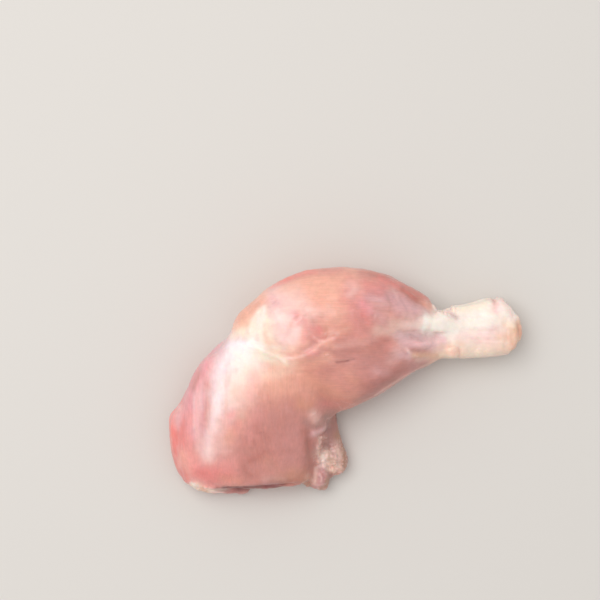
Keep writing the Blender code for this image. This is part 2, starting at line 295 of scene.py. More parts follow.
# Strokes that shape the surface: the half width of each on its left and on its right as it runs, its
# height, which is negative for a groove, and the spots that it runs through
RELIEF = (
    # The fold of membrane behind the knee, the seam above it and the strand that leaves it
    (0.8, 1.5, 0.4, (-42, 17), (-38, 14.8), (-32, 12), (-28.5, 9)),
    (1.6, 1.2, -0.3, (-42, 19.5), (-35, 16.5), (-29, 14), (-25, 12.6)),
    (1.2, 1.1, 0.34, (-31, 12), (-25, 12.6), (-20, 14.6), (-16, 16.4), (-12.5, 19)),
    (2, 1.4, 0.4, (-16, 17.6), (-12, 20), (-8.5, 21.8), (-4, 22.2)),
    (0.8, 1.2, 0.25, (-17, 23.2), (-14, 21.8), (-11, 21.4)),
    (1.6, 1.2, -0.3, (-22, 16.6), (-18, 18.6), (-15.5, 21)),
    (0.9, 0.9, 0.35, (-11, 14.2), (-9, 14.6)), (1.6, 0.6, 0.25, (-29, 5.7), (-22, 6.5), (-15, 7.2)),
    (1.5, 1.5, -0.1, (-24, 9), (-14, 11), (-6, 14)),
    # The knee cap, its furrows and the fat over it
    (1.5, 1.5, -0.45, (-42, 38), (-45, 31), (-47.5, 24)),
    (2.8, 3.4, 0.3, (-40, 35), (-41.5, 28), (-43, 20.5)),
    (1.6, 1.6, -0.2, (-37, 37), (-37.5, 30), (-38, 23)),
    (1.8, 1.8, -0.2, (-56, 27), (-52, 23), (-50, 19)), (4, 4, 0.3, (-59, 18), (-52, 16), (-46, 17)),
    # The head of the shin muscle, its dimples and the red hollow behind it
    (2.4, 2.4, -0.4, (-36, 41), (-35, 39.5)), (1.9, 1.9, -0.35, (-25, 33), (-23.5, 31)),
    (2.2, 2.4, -0.65, (-18, 29), (-15, 27), (-12, 24.8), (-9.6, 23.6)),
    (1.4, 1.4, 0.3, (-20, 33), (-17.5, 30)),
    # The membrane on the upper right of the drumstick and the muscle edge above it
    (1.2, 2, -0.6, (6, 51), (18, 49), (29, 44.4), (37, 38.2)),
    (0.9, 1.8, 0.35, (18, 43), (27, 44), (31, 40), (37, 35)),
    (1.5, 1.5, -0.3, (8, 40), (16, 37), (24, 36)),
    (1.8, 1.2, 0.25, (14, 26), (22, 25.5), (27, 27.2), (35, 29)),
    (1.6, 1.6, -0.3, (6, 33), (14, 33.5)), (3, 3, -0.8, (-20, 57), (-4, 59), (10, 58)),
    (3, 3, -0.6, (22, 52), (32, 46), (40, 40)),
    # The web of tendon, the hollow under it, the pink strip, the dark line and the tan strip
    (4, 3.4, 0.5, (41, 29.8), (48, 29.8), (57, 29.6)),
    (1.4, 1.6, 0.3, (38, 29), (44, 31), (52, 32)),
    (3.4, 3.4, 0.8, (51, 27.5), (53, 26), (57, 27.5)),
    (0.9, 2.6, -0.5, (29, 24.8), (37, 25.4), (43, 25)), (0.7, 0.9, -0.3, (30.5, 23), (35.5, 20.8)),
    (1.7, 1.5, 0.4, (33, 19), (42, 19.6), (49, 20.6)),
    (1, 1, -0.25, (31, 16), (37, 15.7), (43, 16.8)),
    (1.5, 1.5, 0.4, (31, 13.5), (39.5, 13), (48, 14.7)), (0.9, 0.9, 0.35, (29, 16.5), (31, 14.5)),
    (0.9, 0.9, 0.25, (32.5, 14), (35, 13)),
    # Torn membrane and tendon stubs at the neck of the shank
    (0.7, 0.7, 0.6, (42.6, 38.6), (43.6, 36.5), (46, 33.8)),
    (1, 1, -0.9, (47, 34.8), (50, 33.4), (53.5, 31.8)), (1, 1, 0.5, (48, 34.2), (49.5, 33.6)),
    (1.2, 1.2, 0.5, (52.5, 36.2), (54, 35.6)),
    (1, 1.2, 0.5, (52, 37), (55, 36.6), (60, 37.4), (72, 40.6)),
    # The shank: faint furrows and a ridge along it, the lump at its root and bumps on its lower edge
    (1, 1, -0.35, (56, 26.5), (66, 25.5), (77, 26)),
    (0.9, 0.9, -0.25, (60, 21.5), (70, 21), (78, 21.5)),
    (1.4, 1.4, 0.25, (57, 30), (68, 31), (76, 33)),
    (2.2, 2.2, 0.8, (51.5, 17.5), (52.3, 14.5), (52, 12)),
    (0.9, 0.9, -0.7, (55.6, 18), (56.2, 14), (56, 11)), (1.3, 1.3, 0.5, (64.5, 16.5), (66, 14)),
    (1.2, 1.2, 0.4, (68.5, 16), (70, 13.5)),
    # The clefts and rims of the knuckles, the gristle between them and the end's trimmed corners
    (1.2, 1.4, -0.5, (74.2, 43.5), (73.6, 39.3), (74, 36)),
    (1.6, 0.9, 0.45, (77, 41.5), (81.5, 38.2), (84.6, 33.7), (86, 28.5)),
    (1.2, 1.6, -0.5, (80, 33.5), (79, 28), (79.5, 21), (78, 14)),
    (0.9, 0.9, -0.35, (79, 26), (84, 25.4)),
    (1.5, 1.5, 0.5, (82, 31), (83.5, 26), (83, 19), (80, 13.5)),
    (2.6, 3, -1.7, (79.5, 42.5), (84.2, 38.2), (87.4, 33)),
    (2.4, 2.4, -1.7, (88.6, 20.5), (86.4, 15.5), (82, 12.2)),
    # Seams along the thigh's front roll
    (1, 1, 0.2, (-68, 12), (-73.5, 0), (-74.6, -18), (-74, -37)),
    (1.6, 1.6, -0.4, (-64, 10), (-70, 0), (-71, -16), (-70.4, -27)),
    (0.7, 0.7, 0.25, (-66, -6), (-65.7, -18), (-66, -30)),
    (1.6, 1.6, -0.4, (-78, 2), (-81, -14), (-82, -32)),
    (2.4, 2.4, -0.35, (-60, 6), (-60, -12), (-62, -30)),
    # Faint seams across the back of the thigh
    (1.6, 2.6, -0.2, (-50, -40), (-40, -36), (-30, -33)),
    (2, 2, -0.25, (-46, -20), (-44, -32), (-46, -42)),
    # The rim of the cut along the thigh's end
    (1, 0.8, -1, (-63, -53), (-56, -53.2), (-46, -52.8), (-32, -52), (-22, -50.5)),
    (0.8, 0.8, 0.5, (-70, -54.8), (-58, -56.2), (-45, -54.6), (-30, -53)),
    # The flap: the groove beside it and the muscle that ends below it
    (2.6, 1.6, -0.8, (-19, -24), (-17.8, -36), (-17.8, -46)),
    (3, 3, 0.65, (-17.2, -14.4), (-16, -16.8), (-14.4, -19.6)),
    (2.3, 1.9, 0.75, (-18, -25.4), (-14, -24), (-8.6, -21.2)),
    (1.1, 1.2, 0.7, (-13.2, -28), (-14, -33), (-13.8, -38)), (1.6, 1.6, 0.6, (-6, -32), (-4, -37)),
    (2.6, 2.6, -0.5, (-21, -50), (-19, -53)),
    (3.2, 3.2, 0.9, (-12.5, -44), (-12.8, -49), (-12.5, -53)),
    (0.9, 0.9, 0.4, (-15.2, -43.5), (-15.6, -51)), (1, 1, -0.4, (-9, -45), (-7.5, -47), (-8, -52)),
    (0.8, 0.8, 0.4, (-14, -46), (-12.5, -48), (-13, -51)),
    (0.8, 0.8, -0.5, (-12, -45.5), (-10.5, -49)),
    (2, 2, -0.9, (-10.5, -28.5), (-9.5, -31), (-7, -32)),
    (1, 1.2, -0.6, (-16, -22), (-12, -20.8), (-9, -18)),
    (0.8, 1, -0.5, (-15, -26.6), (-11, -26), (-7, -23)),
    # The calf: the groove of its vein, the rim of its lower edge and the hollow above the rim
    (0.6, 0.6, -0.3, (-5, 10.6), (-1, 11), (3.4, 12.1)),
    (0.8, 0.8, 0.35, (2.5, -11.6), (13.5, -6.2), (24.5, 0.8), (34, 5.8), (44.5, 10.8)),
    (2.2, 2.2, -0.3, (-2, -6), (10, -2), (22, 5)),
)

# Strokes along which the surface is smoothed, seen from above: their half width and spots
SOFTENED = (
    (3.6, (50.5, 26), (55, 27.5)),
)

# The sides that a stroke can be drawn from: the two axes that it is drawn along, the axis that it is
# seen along, and how a face's normal on that axis counts: its factor and what is added. A stroke from
# above goes a little past the outline, and the others keep inside it.
SIDES = {
    "top": ((0, 1), 2, 2.0, 1.0),
    "back": ((0, 2), 1, 2.5, -0.6),
    "front": ((0, 2), 1, -2.5, -0.6),
    "left": ((1, 2), 0, -2.5, -0.6),
    "right": ((1, 2), 0, 2.5, -0.6),
}

# Strokes that shape the sides: as in RELIEF, with their spots given along the side and upwards
SIDE_RELIEF = {
    "back": (
        (1.6, 0.8, -0.5, (-40, 24), (-26, 21.5), (-8, 23), (14, 20), (32, 19)),
        (0.9, 2, -0.6, (-30, 13), (-6, 10), (20, 10), (40, 13)),
        (1.2, 1.2, 0.3, (-20, 22), (6, 20), (30, 17)),
        (1.2, 1.8, -0.5, (-88, 16), (-76, 12), (-62, 12)),
        (1.8, 1.8, 0.6, (26, 18), (40, 17), (56, 16), (72, 15)),
        (1.4, 1.4, 0.4, (36, 9), (52, 8), (70, 7)), (1, 1, -0.6, (48, 12.5), (60, 11.5), (74, 11)),
        (1.4, 1.4, -0.7, (75, 3), (74, 14), (74, 26)),
        (1.9, 1.5, -2, (43.7, 25), (43.8, 18), (44, 9)),
    ),
    "front": (
        (1, 1.6, -0.6, (-68, 18), (-58, 21), (-46, 20.5), (-34, 22), (-24, 20)),
        (1.2, 1.6, -0.5, (-64, 10), (-54, 12.5), (-42, 11), (-28, 13)),
        (1.4, 1.4, 0.4, (-60, 16), (-44, 17)), (3.5, 3, -1.1, (-66, 6), (-60, 5), (-54, 6)),
        (3, 3, 0.9, (-55, 7), (-47, 6.5), (-38, 8)), (1.6, 1.2, -0.5, (8, 12), (24, 13), (44, 14)),
        (1, 1, -0.5, (52, 12), (66, 11), (80, 11)), (1, 1, -0.3, (-10.4, 14), (-8.6, 8), (-8.4, 2)),
        (2, 2, 0.9, (-10.6, 11), (-10.4, 6), (-10.6, 0)),
        (2.6, 1.8, -1.6, (-18.4, 16), (-17.8, -4)),
        (0.8, 0.8, -0.5, (-15.8, 14), (-14.6, 8), (-15, 2)),
        (0.7, 0.7, -0.4, (-12.6, 13), (-12, 8), (-12.8, 3)),
    ),
    "left": (
        (1.2, 2, -0.6, (18, 16), (4, 17), (-20, 16), (-40, 13)),
        (7, 4.4, 2.2, (-18, -8), (-18, 10), (-18, 28)), (1, 1, 0.35, (10, 8), (-10, 9), (-34, 7)),
    ),
    "right": (
        (2.4, 2.4, -1.3, (25.5, 9.5), (25, 3)), (3, 3, 0.5, (34, 18), (34.5, 12), (34, 6)),
        (2.2, 2.2, -0.9, (38.5, 21), (40, 15)), (2, 2, -0.8, (12.5, 19), (11.5, 14)),
        (2.6, 2.6, 0.4, (17, 17), (16.5, 11), (17, 5)), (1, 1, -0.5, (19, 20), (32, 21)),
    ),
}

# Strokes of paint on the sides: their colour, half width and strength, and their spots along the side
# and upwards
SIDE_PAINTING = {
    "back": (
        ("red", 4, 0.45, (-30, 6), (0, 4), (34, 7)),
        ("blush", 0.8, 0.35, (-40, 23.5), (-26, 21), (-8, 22.5), (14, 19.5), (32, 18.5)),
        ("blush", 0.8, 0.35, (-30, 13), (-6, 10), (20, 10), (40, 13)),
        ("mauve", 4, 0.5, (-6, 22), (14, 20), (34, 18)),
        ("cream", 2.2, 0.85, (28, 18), (40, 17), (56, 16)),
        ("cream", 2, 0.7, (34, 9), (46, 8), (56, 8)),
        # Painted shade in the hollow under the tendon
        ("hollow", 1.8, 0.7, (38, 13), (50, 12.5), (62, 11.5)),
        ("magenta", 5, 0.4, (-84, 18), (-70, 20)), ("peach", 5, 0.4, (-40, 14), (-20, 12)),
        ("vein", 0.5, 0.3, (-26, 17), (-14, 15.5), (-2, 16.5)),
        ("blush", 3, 0.4, (-72, 22), (-60, 24)), ("tan", 3, 0.6, (78, 6), (86, 10), (86, 20)),
        ("rose", 1.4, 0.4, (74.5, 6), (74, 14), (74, 24)),
    ),
    "front": (
        ("red", 8, 0.7, (-74, 12), (-50, 12), (-24, 12)), ("mauve", 3, 0.45, (-64, 7), (-48, 7)),
        ("blush", 0.7, 0.4, (-62, 11), (-54, 13.5), (-42, 12), (-30, 13.8)),
        # Painted shade on the cut face below its rim, and in the dark line along the rim
        ("meat_dark", 3, 0.5, (-60, 7), (-30, 7)),
        ("meat_dark", 3.2, 0.7, (-57, 17), (-44, 18), (-32, 18)),
        ("blush", 5, 0.6, (-80.5, 11), (-76, 16), (-70, 17), (-64, 15)),
        ("butter", 3.2, 0.8, (-78.5, 11), (-75.5, 15), (-70, 16), (-66, 14)),
        ("butter", 2.6, 0.6, (-76, 9), (-69, 11)), ("apricot", 1.8, 0.6, (-76, 17), (-71, 15)),
        ("vein", 1.3, 0.75, (-64, 20.5), (-54, 21), (-44, 21), (-34, 20.5)),
        ("mauve", 3.5, 0.4, (10, 14), (26, 14), (44, 14)),
        ("blush", 0.8, 0.25, (8, 11), (24, 12), (44, 13)),
        ("tan", 2.6, 0.5, (50, 12), (66, 11), (82, 12)), ("lobule", 2.6, 0.6, (-4, 8), (-2, 4)),
        # Painted shade in the groove beside the flap and under its muscle end
        ("brown", 3, 0.75, (-23, 12), (-18.4, 8), (-18, 3)),
        ("brown", 1.8, 0.6, (-11.5, 10), (-9.6, 6), (-9.6, 2)),
        ("mauve", 2.6, 0.5, (-15.6, 12), (-13, 8), (-13, 4)),
    ),
    "left": (
        ("magenta", 4.5, 0.5, (16, 18), (0, 20), (-20, 20)),
        ("blush", 0.8, 0.5, (17, 15.5), (4, 16.5), (-20, 15.5), (-38, 12.5)),
        # The dark meat low down on this side is painted shade
        ("rose", 5, 0.5, (8, 10), (-10, 10), (-34, 9)), ("meat_dark", 2, 0.4, (4, 4), (-30, 4)),
    ),
    "right": (
        ("tan", 3, 0.8, (14, 14), (16, 20), (26, 22), (36, 20)),
        ("white", 3.6, 0.6, (36, 16), (36, 10)), ("white", 3, 0.6, (15, 14), (15, 9)),
        ("orange", 2, 0.6, (25, 22), (25, 12), (25, 4)), ("red", 1.2, 0.4, (22, 17), (27, 14)),
    ),
}

# The first coat, which goes all the way round and down to the floor: its strokes' colour, half width,
# strength and spots as seen from above
WRAPS = (
    ("rose", 13, 0.9, (-64, 22), (-78, 6), (-86, -18), (-88, -36), (-80, -50)),
    ("peach", 20, 0.8, (-30, 52), (-10, 56), (10, 50)),
    ("orange", 10, 0.6, (-30, -4), (-14, -6), (4, -8)),
    ("meat_brown", 12, 0.6, (6, 10), (24, 8), (40, 12)),
    ("mauve", 9, 0.6, (10, 44), (26, 42), (38, 34)),
    # The white over the knee is partly a painted highlight, and the bruise on the flap is partly
    # painted shade
    ("apricot", 9, 0.8, (-60, 32), (-52, 40), (-42, 48)), ("white", 8, 0.7, (-62, 22), (-56, 16)),
    ("bruise", 6.5, 0.9, (-9, -18), (-7, -30), (-9, -44), (-12, -54)),
    ("red", 4, 0.8, (-70, -58), (-46, -58), (-24, -56)),
    ("cream", 13, 1, (54, 36), (66, 36), (82, 36)), ("cream", 11, 1, (54, 18), (66, 18), (82, 18)),
    ("tan", 5, 0.8, (86, 36), (88, 26), (86, 14)), ("tan", 5, 0.7, (46, 10), (60, 8), (76, 8)),
)

# Strokes of paint on what shows from above, laid one over the other, with the same values as WRAPS
PAINTING = (
    # The thigh's back, its saddle and its red edges
    ("red", 5.5, 0.8, (-84, -12), (-84, -24), (-83, -36)),
    ("salmon", 3.2, 0.5, (-84, -12), (-86.6, -18), (-87, -27)),
    # The lilac on the thigh's left edge is a painted highlight
    ("orange", 2.4, 0.4, (-86, -35), (-84.5, -42)), ("lilac", 1.8, 0.4, (-83, -17), (-83.6, -23)),
    ("ochre", 6, 0.65, (-26, -5), (-16, -7), (-21, -14)),
    ("orange", 9, 0.8, (-42, 2), (-28, 0), (-14, -4), (-6, -12)),
    ("peach", 8, 0.8, (-42, 8), (-34, 2)), ("orange", 5, 0.5, (-24, 4), (-10, 6), (0, 6)),
    ("meat_brown", 10, 0.8, (-24, -12), (-28, -30), (-30, -42)),
    # The dark meat here is painted shade along the calf's and thigh's lower edges and in the groove
    # beside the flap
    ("meat_dark", 4.5, 0.35, (-12, -6), (2, -9), (14, -4)),
    ("meat_dark", 3.4, 0.75, (-36, -50), (-26, -49), (-19, -48)),
    ("meat_dark", 3, 0.85, (-19.4, -24), (-18.2, -38), (-18, -48)),
    ("rose", 7, 0.7, (-80, -36), (-74, -44), (-60, -44)),
    ("peach", 2.6, 0.35, (-81, -36), (-80, -44)),
    ("red", 4, 0.6, (-73, -45), (-66, -45), (-59, -46)),
    ("orange", 2.8, 0.45, (-61, -47.6), (-53, -48.6)),
    ("meat", 2.4, 0.45, (-47, -46.6), (-41, -47.6)),
    ("meat_dark", 3, 0.25, (-52, -45.4), (-45, -46.6)), ("peach", 3, 0.4, (-29, -1), (-26, -3)),
    ("red", 2.4, 0.65, (-85, -31), (-86, -40)),
    ("brown", 3.6, 0.22, (-31, -49.5), (-26, -46), (-22, -44)),
    ("red", 3, 0.4, (-82, -44), (-80, -49)), ("red", 3, 0.55, (-70.5, -46), (-67, -49)),
    ("rose", 3.4, 0.4, (-45, -15), (-46, -27)), ("orange", 3, 0.45, (-53, -19), (-58, -26)),
    # Darker meat on the thigh's back, partly painted shade in its faint seams
    ("meat_dark", 5, 0.22, (-32, -18), (-38, -25), (-46, -31), (-52, -43)),
    ("beige", 2, 0.25, (-40, -48), (-32, -47.8)), ("beige", 1.8, 0.4, (-19, -47.6), (-17.4, -49.6)),
    ("meat_dark", 2.2, 0.22, (-50, -40), (-40, -36), (-30, -33)),
    ("meat_dark", 3.6, 0.35, (-44, -22), (-40, -30)),
    ("meat_dark", 2.6, 0.25, (-46, -31), (-53, -27)),
    ("meat_dark", 3.2, 0.15, (-43, -35), (-40, -37)),
    ("meat_dark", 1.5, 0.35, (-47.4, -37.6), (-42, -35), (-38.6, -33)),
    ("red", 2, 0.12, (-47.4, -37.6), (-42, -35), (-38.6, -33)),
    ("meat_dark", 1.2, 0.4, (-50.4, -41.2), (-49.4, -44.4), (-47.4, -46)),
    ("meat_dark", 0.9, 0.45, (-45.6, -28.2), (-45, -30.2)),
    ("vein", 0.6, 0.22, (-42.8, -24.4), (-40.4, -23.8)), ("ochre", 4, 0.2, (-40, -38), (-32, -44)),
    ("ochre", 3, 0.35, (-27, -45), (-20, -48)), ("ochre", 3, 0.65, (-22, -10), (-19, -11.6)),
    ("meat_dark", 2.8, 0.25, (-22, -10), (-19, -11.6)),
    # The drumstick's pale upper muscle and the pink head of it beside the knee
    ("peach", 12, 0.9, (-30, 46), (-12, 46), (2, 38), (4, 28)),
    ("coral", 2.4, 0.7, (-37, 47.4), (-30, 51), (-18, 54.5), (-4, 56)),
    ("salmon", 1.8, 0.4, (-37, 48), (-28, 52.6), (-16, 56)),
    ("blush", 6, 0.7, (-35, 43), (-26, 40)), ("blush", 7, 0.95, (-34, 34), (-30, 22), (-24, 26)),
    ("butter", 2.2, 0.85, (-42, 31), (-42, 25), (-40, 20), (-35, 16.5)),
    ("apricot", 2.2, 0.6, (-43, 38.8), (-45.4, 36.2)),
    ("salmon", 1.6, 0.25, (-42, 40.6), (-46, 38.2)),
    ("cream", 1.8, 0.5, (-47.4, 34), (-50, 30.4), (-51.6, 27)),
    ("apricot", 1.4, 0.4, (-22, 24), (-24, 20), (-28, 17.4)),
    ("orange", 2, 0.35, (-43, 38.6), (-46, 36.2)), ("red", 1.3, 0.3, (-13.8, 25.8), (-12.6, 24.8)),
    ("orange", 6, 0.5, (-2, 28), (4, 22)), ("orange", 3.4, 0.5, (-2, 39), (0, 33), (0, 25.6)),
    ("coral", 3, 0.45, (0.5, 32), (0, 26), (-7, 24.4)),
    ("orange", 2.4, 0.45, (-13, 24.2), (-8, 24.4), (-1, 24.5)),
    ("red", 2.8, 0.45, (-19, 27), (-16, 26), (-11, 23.8)),
    ("magenta", 2.2, 0.4, (-26, 34), (-23.5, 31.5)), ("magenta", 2.2, 0.4, (-36, 41), (-35, 39.5)),
    # The flesh right of that head, the bluish membrane there and the red edge of the muscle above it
    ("rose", 4.5, 0.5, (4, 46), (8, 40), (8, 34)),
    ("coral", 5, 0.95, (1, 43), (4, 36), (7, 30), (3, 24)),
    ("coral", 3.6, 0.65, (-9, 23.5), (-2, 23.5)),
    ("meat", 3.2, 0.8, (-18, 22.5), (-6, 22.8), (2, 23)),
    ("coral", 2.6, 0.45, (-11, 12), (-8, 11.6)),
    ("orange", 2.8, 0.4, (1, 32), (-1, 27), (-9, 24.6)), ("ochre", 3, 0.35, (1, 2), (4, 0)),
    ("orange", 3.2, 0.4, (-24, -7), (-21, -9)), ("coral", 2.8, 0.45, (-18, 23), (-12, 22.5)),
    ("meat", 2.8, 0.5, (-9, 25), (-3, 26), (0, 29.6)),
    ("meat_dark", 3.2, 0.24, (-10, 24.6), (-6, 25), (0, 25.6)),
    ("orange", 3, 0.3, (-13, 39), (-9, 37)), ("rose", 2.2, 0.3, (-24, 33), (-22, 31)),
    ("apricot", 1.6, 0.45, (-21, 28), (-21, 25.6)), ("rose", 2, 0.35, (8.6, 25.6), (10.4, 24.8)),
    ("meat", 3.2, 0.6, (3, 42), (5, 34), (8, 27)), ("red", 2.6, 0.35, (3, 36), (4, 29)),
    ("meat_brown", 3.4, 0.55, (4, 34), (9, 28), (11, 23.5)),
    ("meat_brown", 3.6, 0.75, (12, 33), (15, 29), (17, 27)),
    ("red", 2.8, 0.35, (7, 40), (9, 33), (11, 29)),
    ("mauve", 6, 0.95, (12, 42), (22, 41), (36, 33)),
    ("meat", 3.4, 0.2, (14, 37), (20, 34), (23, 30)), ("mauve", 3.2, 0.6, (14, 35), (18, 30.5)),
    ("beige", 3.2, 0.75, (22, 29), (34, 28.6)), ("lilac", 2, 0.4, (13, 41), (16, 41)),
    ("meat", 2.4, 0.3, (11, 38.6), (12, 35.4)), ("lilac", 2.4, 0.2, (24, 42), (30, 38), (35, 36)),
    ("magenta", 2.4, 0.5, (7, 39), (10, 36)), ("meat", 3, 0.9, (8, 54), (26, 50), (42, 38)),
    ("meat_dark", 1.8, 0.35, (12, 53.5), (20, 52)), ("red", 2.4, 0.5, (16, 52), (28, 47), (38, 40)),
    # Painted shade in the groove under the muscle's edge
    ("meat_dark", 1.8, 0.7, (27.5, 46), (32.4, 42.6), (36.6, 39)),
    ("apricot", 1.4, 0.4, (38, 39.5), (41.5, 36.5)), ("beige", 1.5, 0.45, (39.6, 39), (41.4, 37.4)),
    ("beige", 3, 0.7, (14, 25.8), (22, 25.3), (27, 27.2), (36, 29.2)),
    ("meat", 2.2, 0.8, (10, 21.4), (15, 20.8), (20, 20.6)),
    ("meat_dark", 2.2, 0.65, (12, 21), (19, 20.4)), ("red", 2.2, 0.35, (10, 45.5), (16, 43.8)),
    ("lilac", 3, 0.4, (26, 37), (34, 36)), ("beige", 2.2, 0.35, (28, 33.4), (33, 32.4)),
    ("red", 1.7, 0.25, (7.5, 40), (7.6, 33)), ("blush", 2.2, 0.4, (1, 48), (3, 46), (1.5, 43.6)),
    ("red", 2.4, 0.45, (9, 49), (18, 47)), ("coral", 2.4, 0.4, (-12, 54), (0, 54), (0, 48)),
    ("meat_dark", 5.5, 0.14, (5, 27), (18, 31), (30, 35)),
    ("orange", 1.8, 0.4, (30, 45.4), (36, 41.4)), ("meat_dark", 2, 0.4, (30.4, 44), (34, 41.6)),
    ("red", 1.4, 0.35, (29, 45.4), (34, 42)),
    ("bruise", 0.6, 0.2, (18.5, 45), (20.8, 38), (19, 31)),
    ("bruise", 0.6, 0.18, (25.6, 42), (29, 35), (27.4, 29)),
    ("blush", 0.7, 0.12, (22.4, 46), (25, 40)),
    # The calf, with painted shade along its lower side
    ("meat_brown", 8, 0.7, (2, 14), (18, 12), (34, 10)),
    ("mauve", 4, 0.4, (34, 8), (20, 0), (4, -8)),
    ("meat_dark", 4.5, 0.45, (24, 6), (14, -1), (4, -7)),
    ("meat_dark", 2.8, 0.4, (-6, 16.6), (4, 16.4), (16, 17.6), (22, 16)),
    ("meat", 5, 0.75, (-12, 6), (-4, 0), (3, -5)), ("meat_brown", 3.6, 0.7, (-12, -11), (-5, -13)),
    ("meat_dark", 3, 0.3, (-12, -11), (-5, -13)), ("meat", 3.5, 0.4, (18, 14), (24, 10)),
    ("meat", 2.4, 0.8, (20.6, 17.6), (22.4, 18.6)),
    ("meat_dark", 2.4, 0.5, (18, 0), (24, 4), (29, 6.5)),
    ("bruise", 2, 0.4, (23, 1.4), (15, -3.8), (5, -9.4)),
    ("blush", 1.9, 0.12, (-6, 18.4), (4, 19.5), (13, 22)), ("blush", 2.4, 0.1, (24, 19), (26, 17)),
    ("lilac", 2.6, 0.2, (25, 17), (30, 13)), ("lilac", 2.4, 0.25, (14, 6), (19, 5)),
    ("meat_dark", 2.2, 0.35, (8, -1), (12, -0.4)), ("meat_dark", 2.6, 0.35, (-10, -10), (0, -11)),
    ("meat_dark", 2.4, 0.2, (17, 3.4), (21, 4.4)),
    ("meat_dark", 4, 0.28, (-11, 6), (-12, -4), (-11, -14)),
    ("meat_dark", 3, 0.25, (22, 12), (31, 11)),
    ("beige", 0.6, 0.5, (14, -6.2), (24.5, 0.8), (34, 5.8), (44.5, 10.8)),
    ("ochre", 5, 0.3, (-16, 2), (-6, -3), (2, -6)), ("red", 2.4, 0.2, (-10, -10), (0, -11)),
    ("vein", 1.6, 0.12, (9, -5), (19, 1.6)),
    # Strips that run into the shank, with painted shade in the hollow under the tendon's web
    ("hollow", 2.8, 0.9, (25.4, 23.2), (30, 23.4), (36, 23.2), (43, 22.6)),
    ("bruise", 0.5, 0.3, (30.5, 24), (33.5, 22.6), (37, 20.4)),
    ("bruise", 0.5, 0.22, (33, 25.2), (40, 22.8), (46, 20.8)),
    ("bruise", 0.5, 0.18, (27, 25.6), (35, 25.8), (40, 25.4)),
    ("hollow", 2, 0.5, (26.4, 20), (31, 19.6)),
    ("lilac", 2, 0.8, (29, 19.4), (37, 19.2), (42, 19.6), (48, 20.6)),
    ("meat_dark", 1, 0.12, (31, 16), (37, 15.7), (41, 16.4)),
    ("tan", 1.8, 0.7, (33, 13.5), (40, 13), (50, 14)),
    ("beige", 1.8, 0.85, (46.5, 17.2), (50.5, 18)), ("mauve", 1.6, 0.35, (28.6, 19), (31.4, 18.6)),
    ("lilac", 1.8, 0.5, (38.6, 18), (41.6, 17.6)), ("lilac", 1.7, 0.3, (31, 26), (36, 25.6)),
    ("blush", 2.2, 0.35, (41, 21), (45, 20.6)), ("butter", 1.4, 0.5, (47, 13.4), (51, 13.2)),
    ("beige", 1.5, 0.5, (35, 10.6), (40, 11.4)), ("blush", 1.2, 0.5, (29, 16.5), (31, 14.5)),
    ("blush", 3, 0.25, (24, 15), (22, 11)), ("lilac", 2, 0.5, (26, 13.6), (30.5, 12.8)),
    ("blush", 2.8, 0.5, (29, 29), (34, 29.2)),
    ("cream", 1.6, 0.95, (38.2, 31.6), (38.2, 29.5), (38, 26.8)),
    ("cream", 4.4, 1, (40, 29.9), (48, 30.2), (58, 29)),
    ("cream", 3, 0.9, (41, 26.4), (45, 27), (52, 26.4)),
    ("lilac", 1.8, 0.5, (44, 22.8), (46.5, 22.6)),
    ("cream", 0.8, 0.8, (42.6, 38.2), (43.6, 36.5), (46, 33.8)),
    ("orange", 1.6, 0.6, (38, 38.5), (41, 38)), ("cream", 1.4, 0.4, (42.4, 34.8), (43.8, 33.4)),
    ("cream", 2.2, 0.6, (39.4, 28), (43, 27.6), (50, 27.4)),
    # The shank, its knuckles and its tan end
    ("cream", 7, 1, (54, 33), (66, 34), (80, 36)),
    ("blush", 3.6, 0.6, (56, 23), (68, 23), (78, 23)),
    ("lilac", 2.8, 0.25, (67, 24), (73, 23), (73, 19)), ("cream", 2.6, 0.3, (73, 23.4), (78, 22.5)),
    ("mauve", 1.8, 0.15, (72, 26.5), (75, 25), (73, 21)),
    ("butter", 2, 0.6, (54, 36), (66, 38), (70, 39.5)),
    ("peach", 4.5, 0.12, (56, 34), (66, 33.5), (74, 34.5)),
    ("mauve", 1.2, 0.25, (71.5, 25), (70, 20)), ("beige", 2.2, 0.3, (62, 20.4), (70, 20)),
    ("butter", 2.2, 0.7, (52, 17.5), (52.3, 13)), ("apricot", 2.2, 0.55, (51, 17), (53, 14)),
    ("tan", 3.6, 0.5, (56, 16.5), (68, 16), (80, 16)), ("tan", 3, 0.6, (76, 21.6), (80, 22.5)),
    ("butter", 2, 0.4, (56, 13.8), (64, 14), (72, 14)), ("butter", 1.3, 0.5, (64, 15), (66, 13)),
    ("rose", 1.7, 0.35, (73.4, 41.5), (73.4, 38), (73.6, 35.6)),
    ("blush", 2, 0.6, (77, 42), (79, 38)), ("lilac", 1.6, 0.45, (74.6, 38.4), (75.6, 35.4)),
    ("cream", 2, 0.5, (82, 35), (84, 33)), ("tan", 3.8, 1, (81.5, 30), (84, 26), (83.5, 20)),
    ("butter", 1.6, 0.5, (80.5, 29), (82.5, 28)),
    ("orange", 1.4, 0.35, (80.5, 22), (85.5, 23), (85.8, 29)),
    ("orange", 1.8, 0.3, (87, 22), (84.5, 17)),
    # Painted shade along the lower right end of the shank
    ("brown", 1.4, 0.7, (88.4, 20.5), (86.6, 16.5), (83, 12.6)),
    ("cream", 2.8, 0.9, (80, 36), (80.4, 32.2), (83.4, 32.4)),
    ("butter", 2, 0.3, (83.4, 22), (85.6, 20.4)), ("peach", 1.8, 0.4, (54.5, 15.6), (57, 15)),
    # The hollow colour here is painted shade in the dip at the neck
    ("tan", 1.6, 0.35, (54.4, 19.6), (57, 19)), ("hollow", 1.4, 0.6, (51, 34.5), (54, 32)),
    ("blush", 1.4, 0.5, (46, 36), (50, 36)),
    # The knee: an orange edge, yellow fat, then the white of the taut membrane, partly a painted
    # highlight
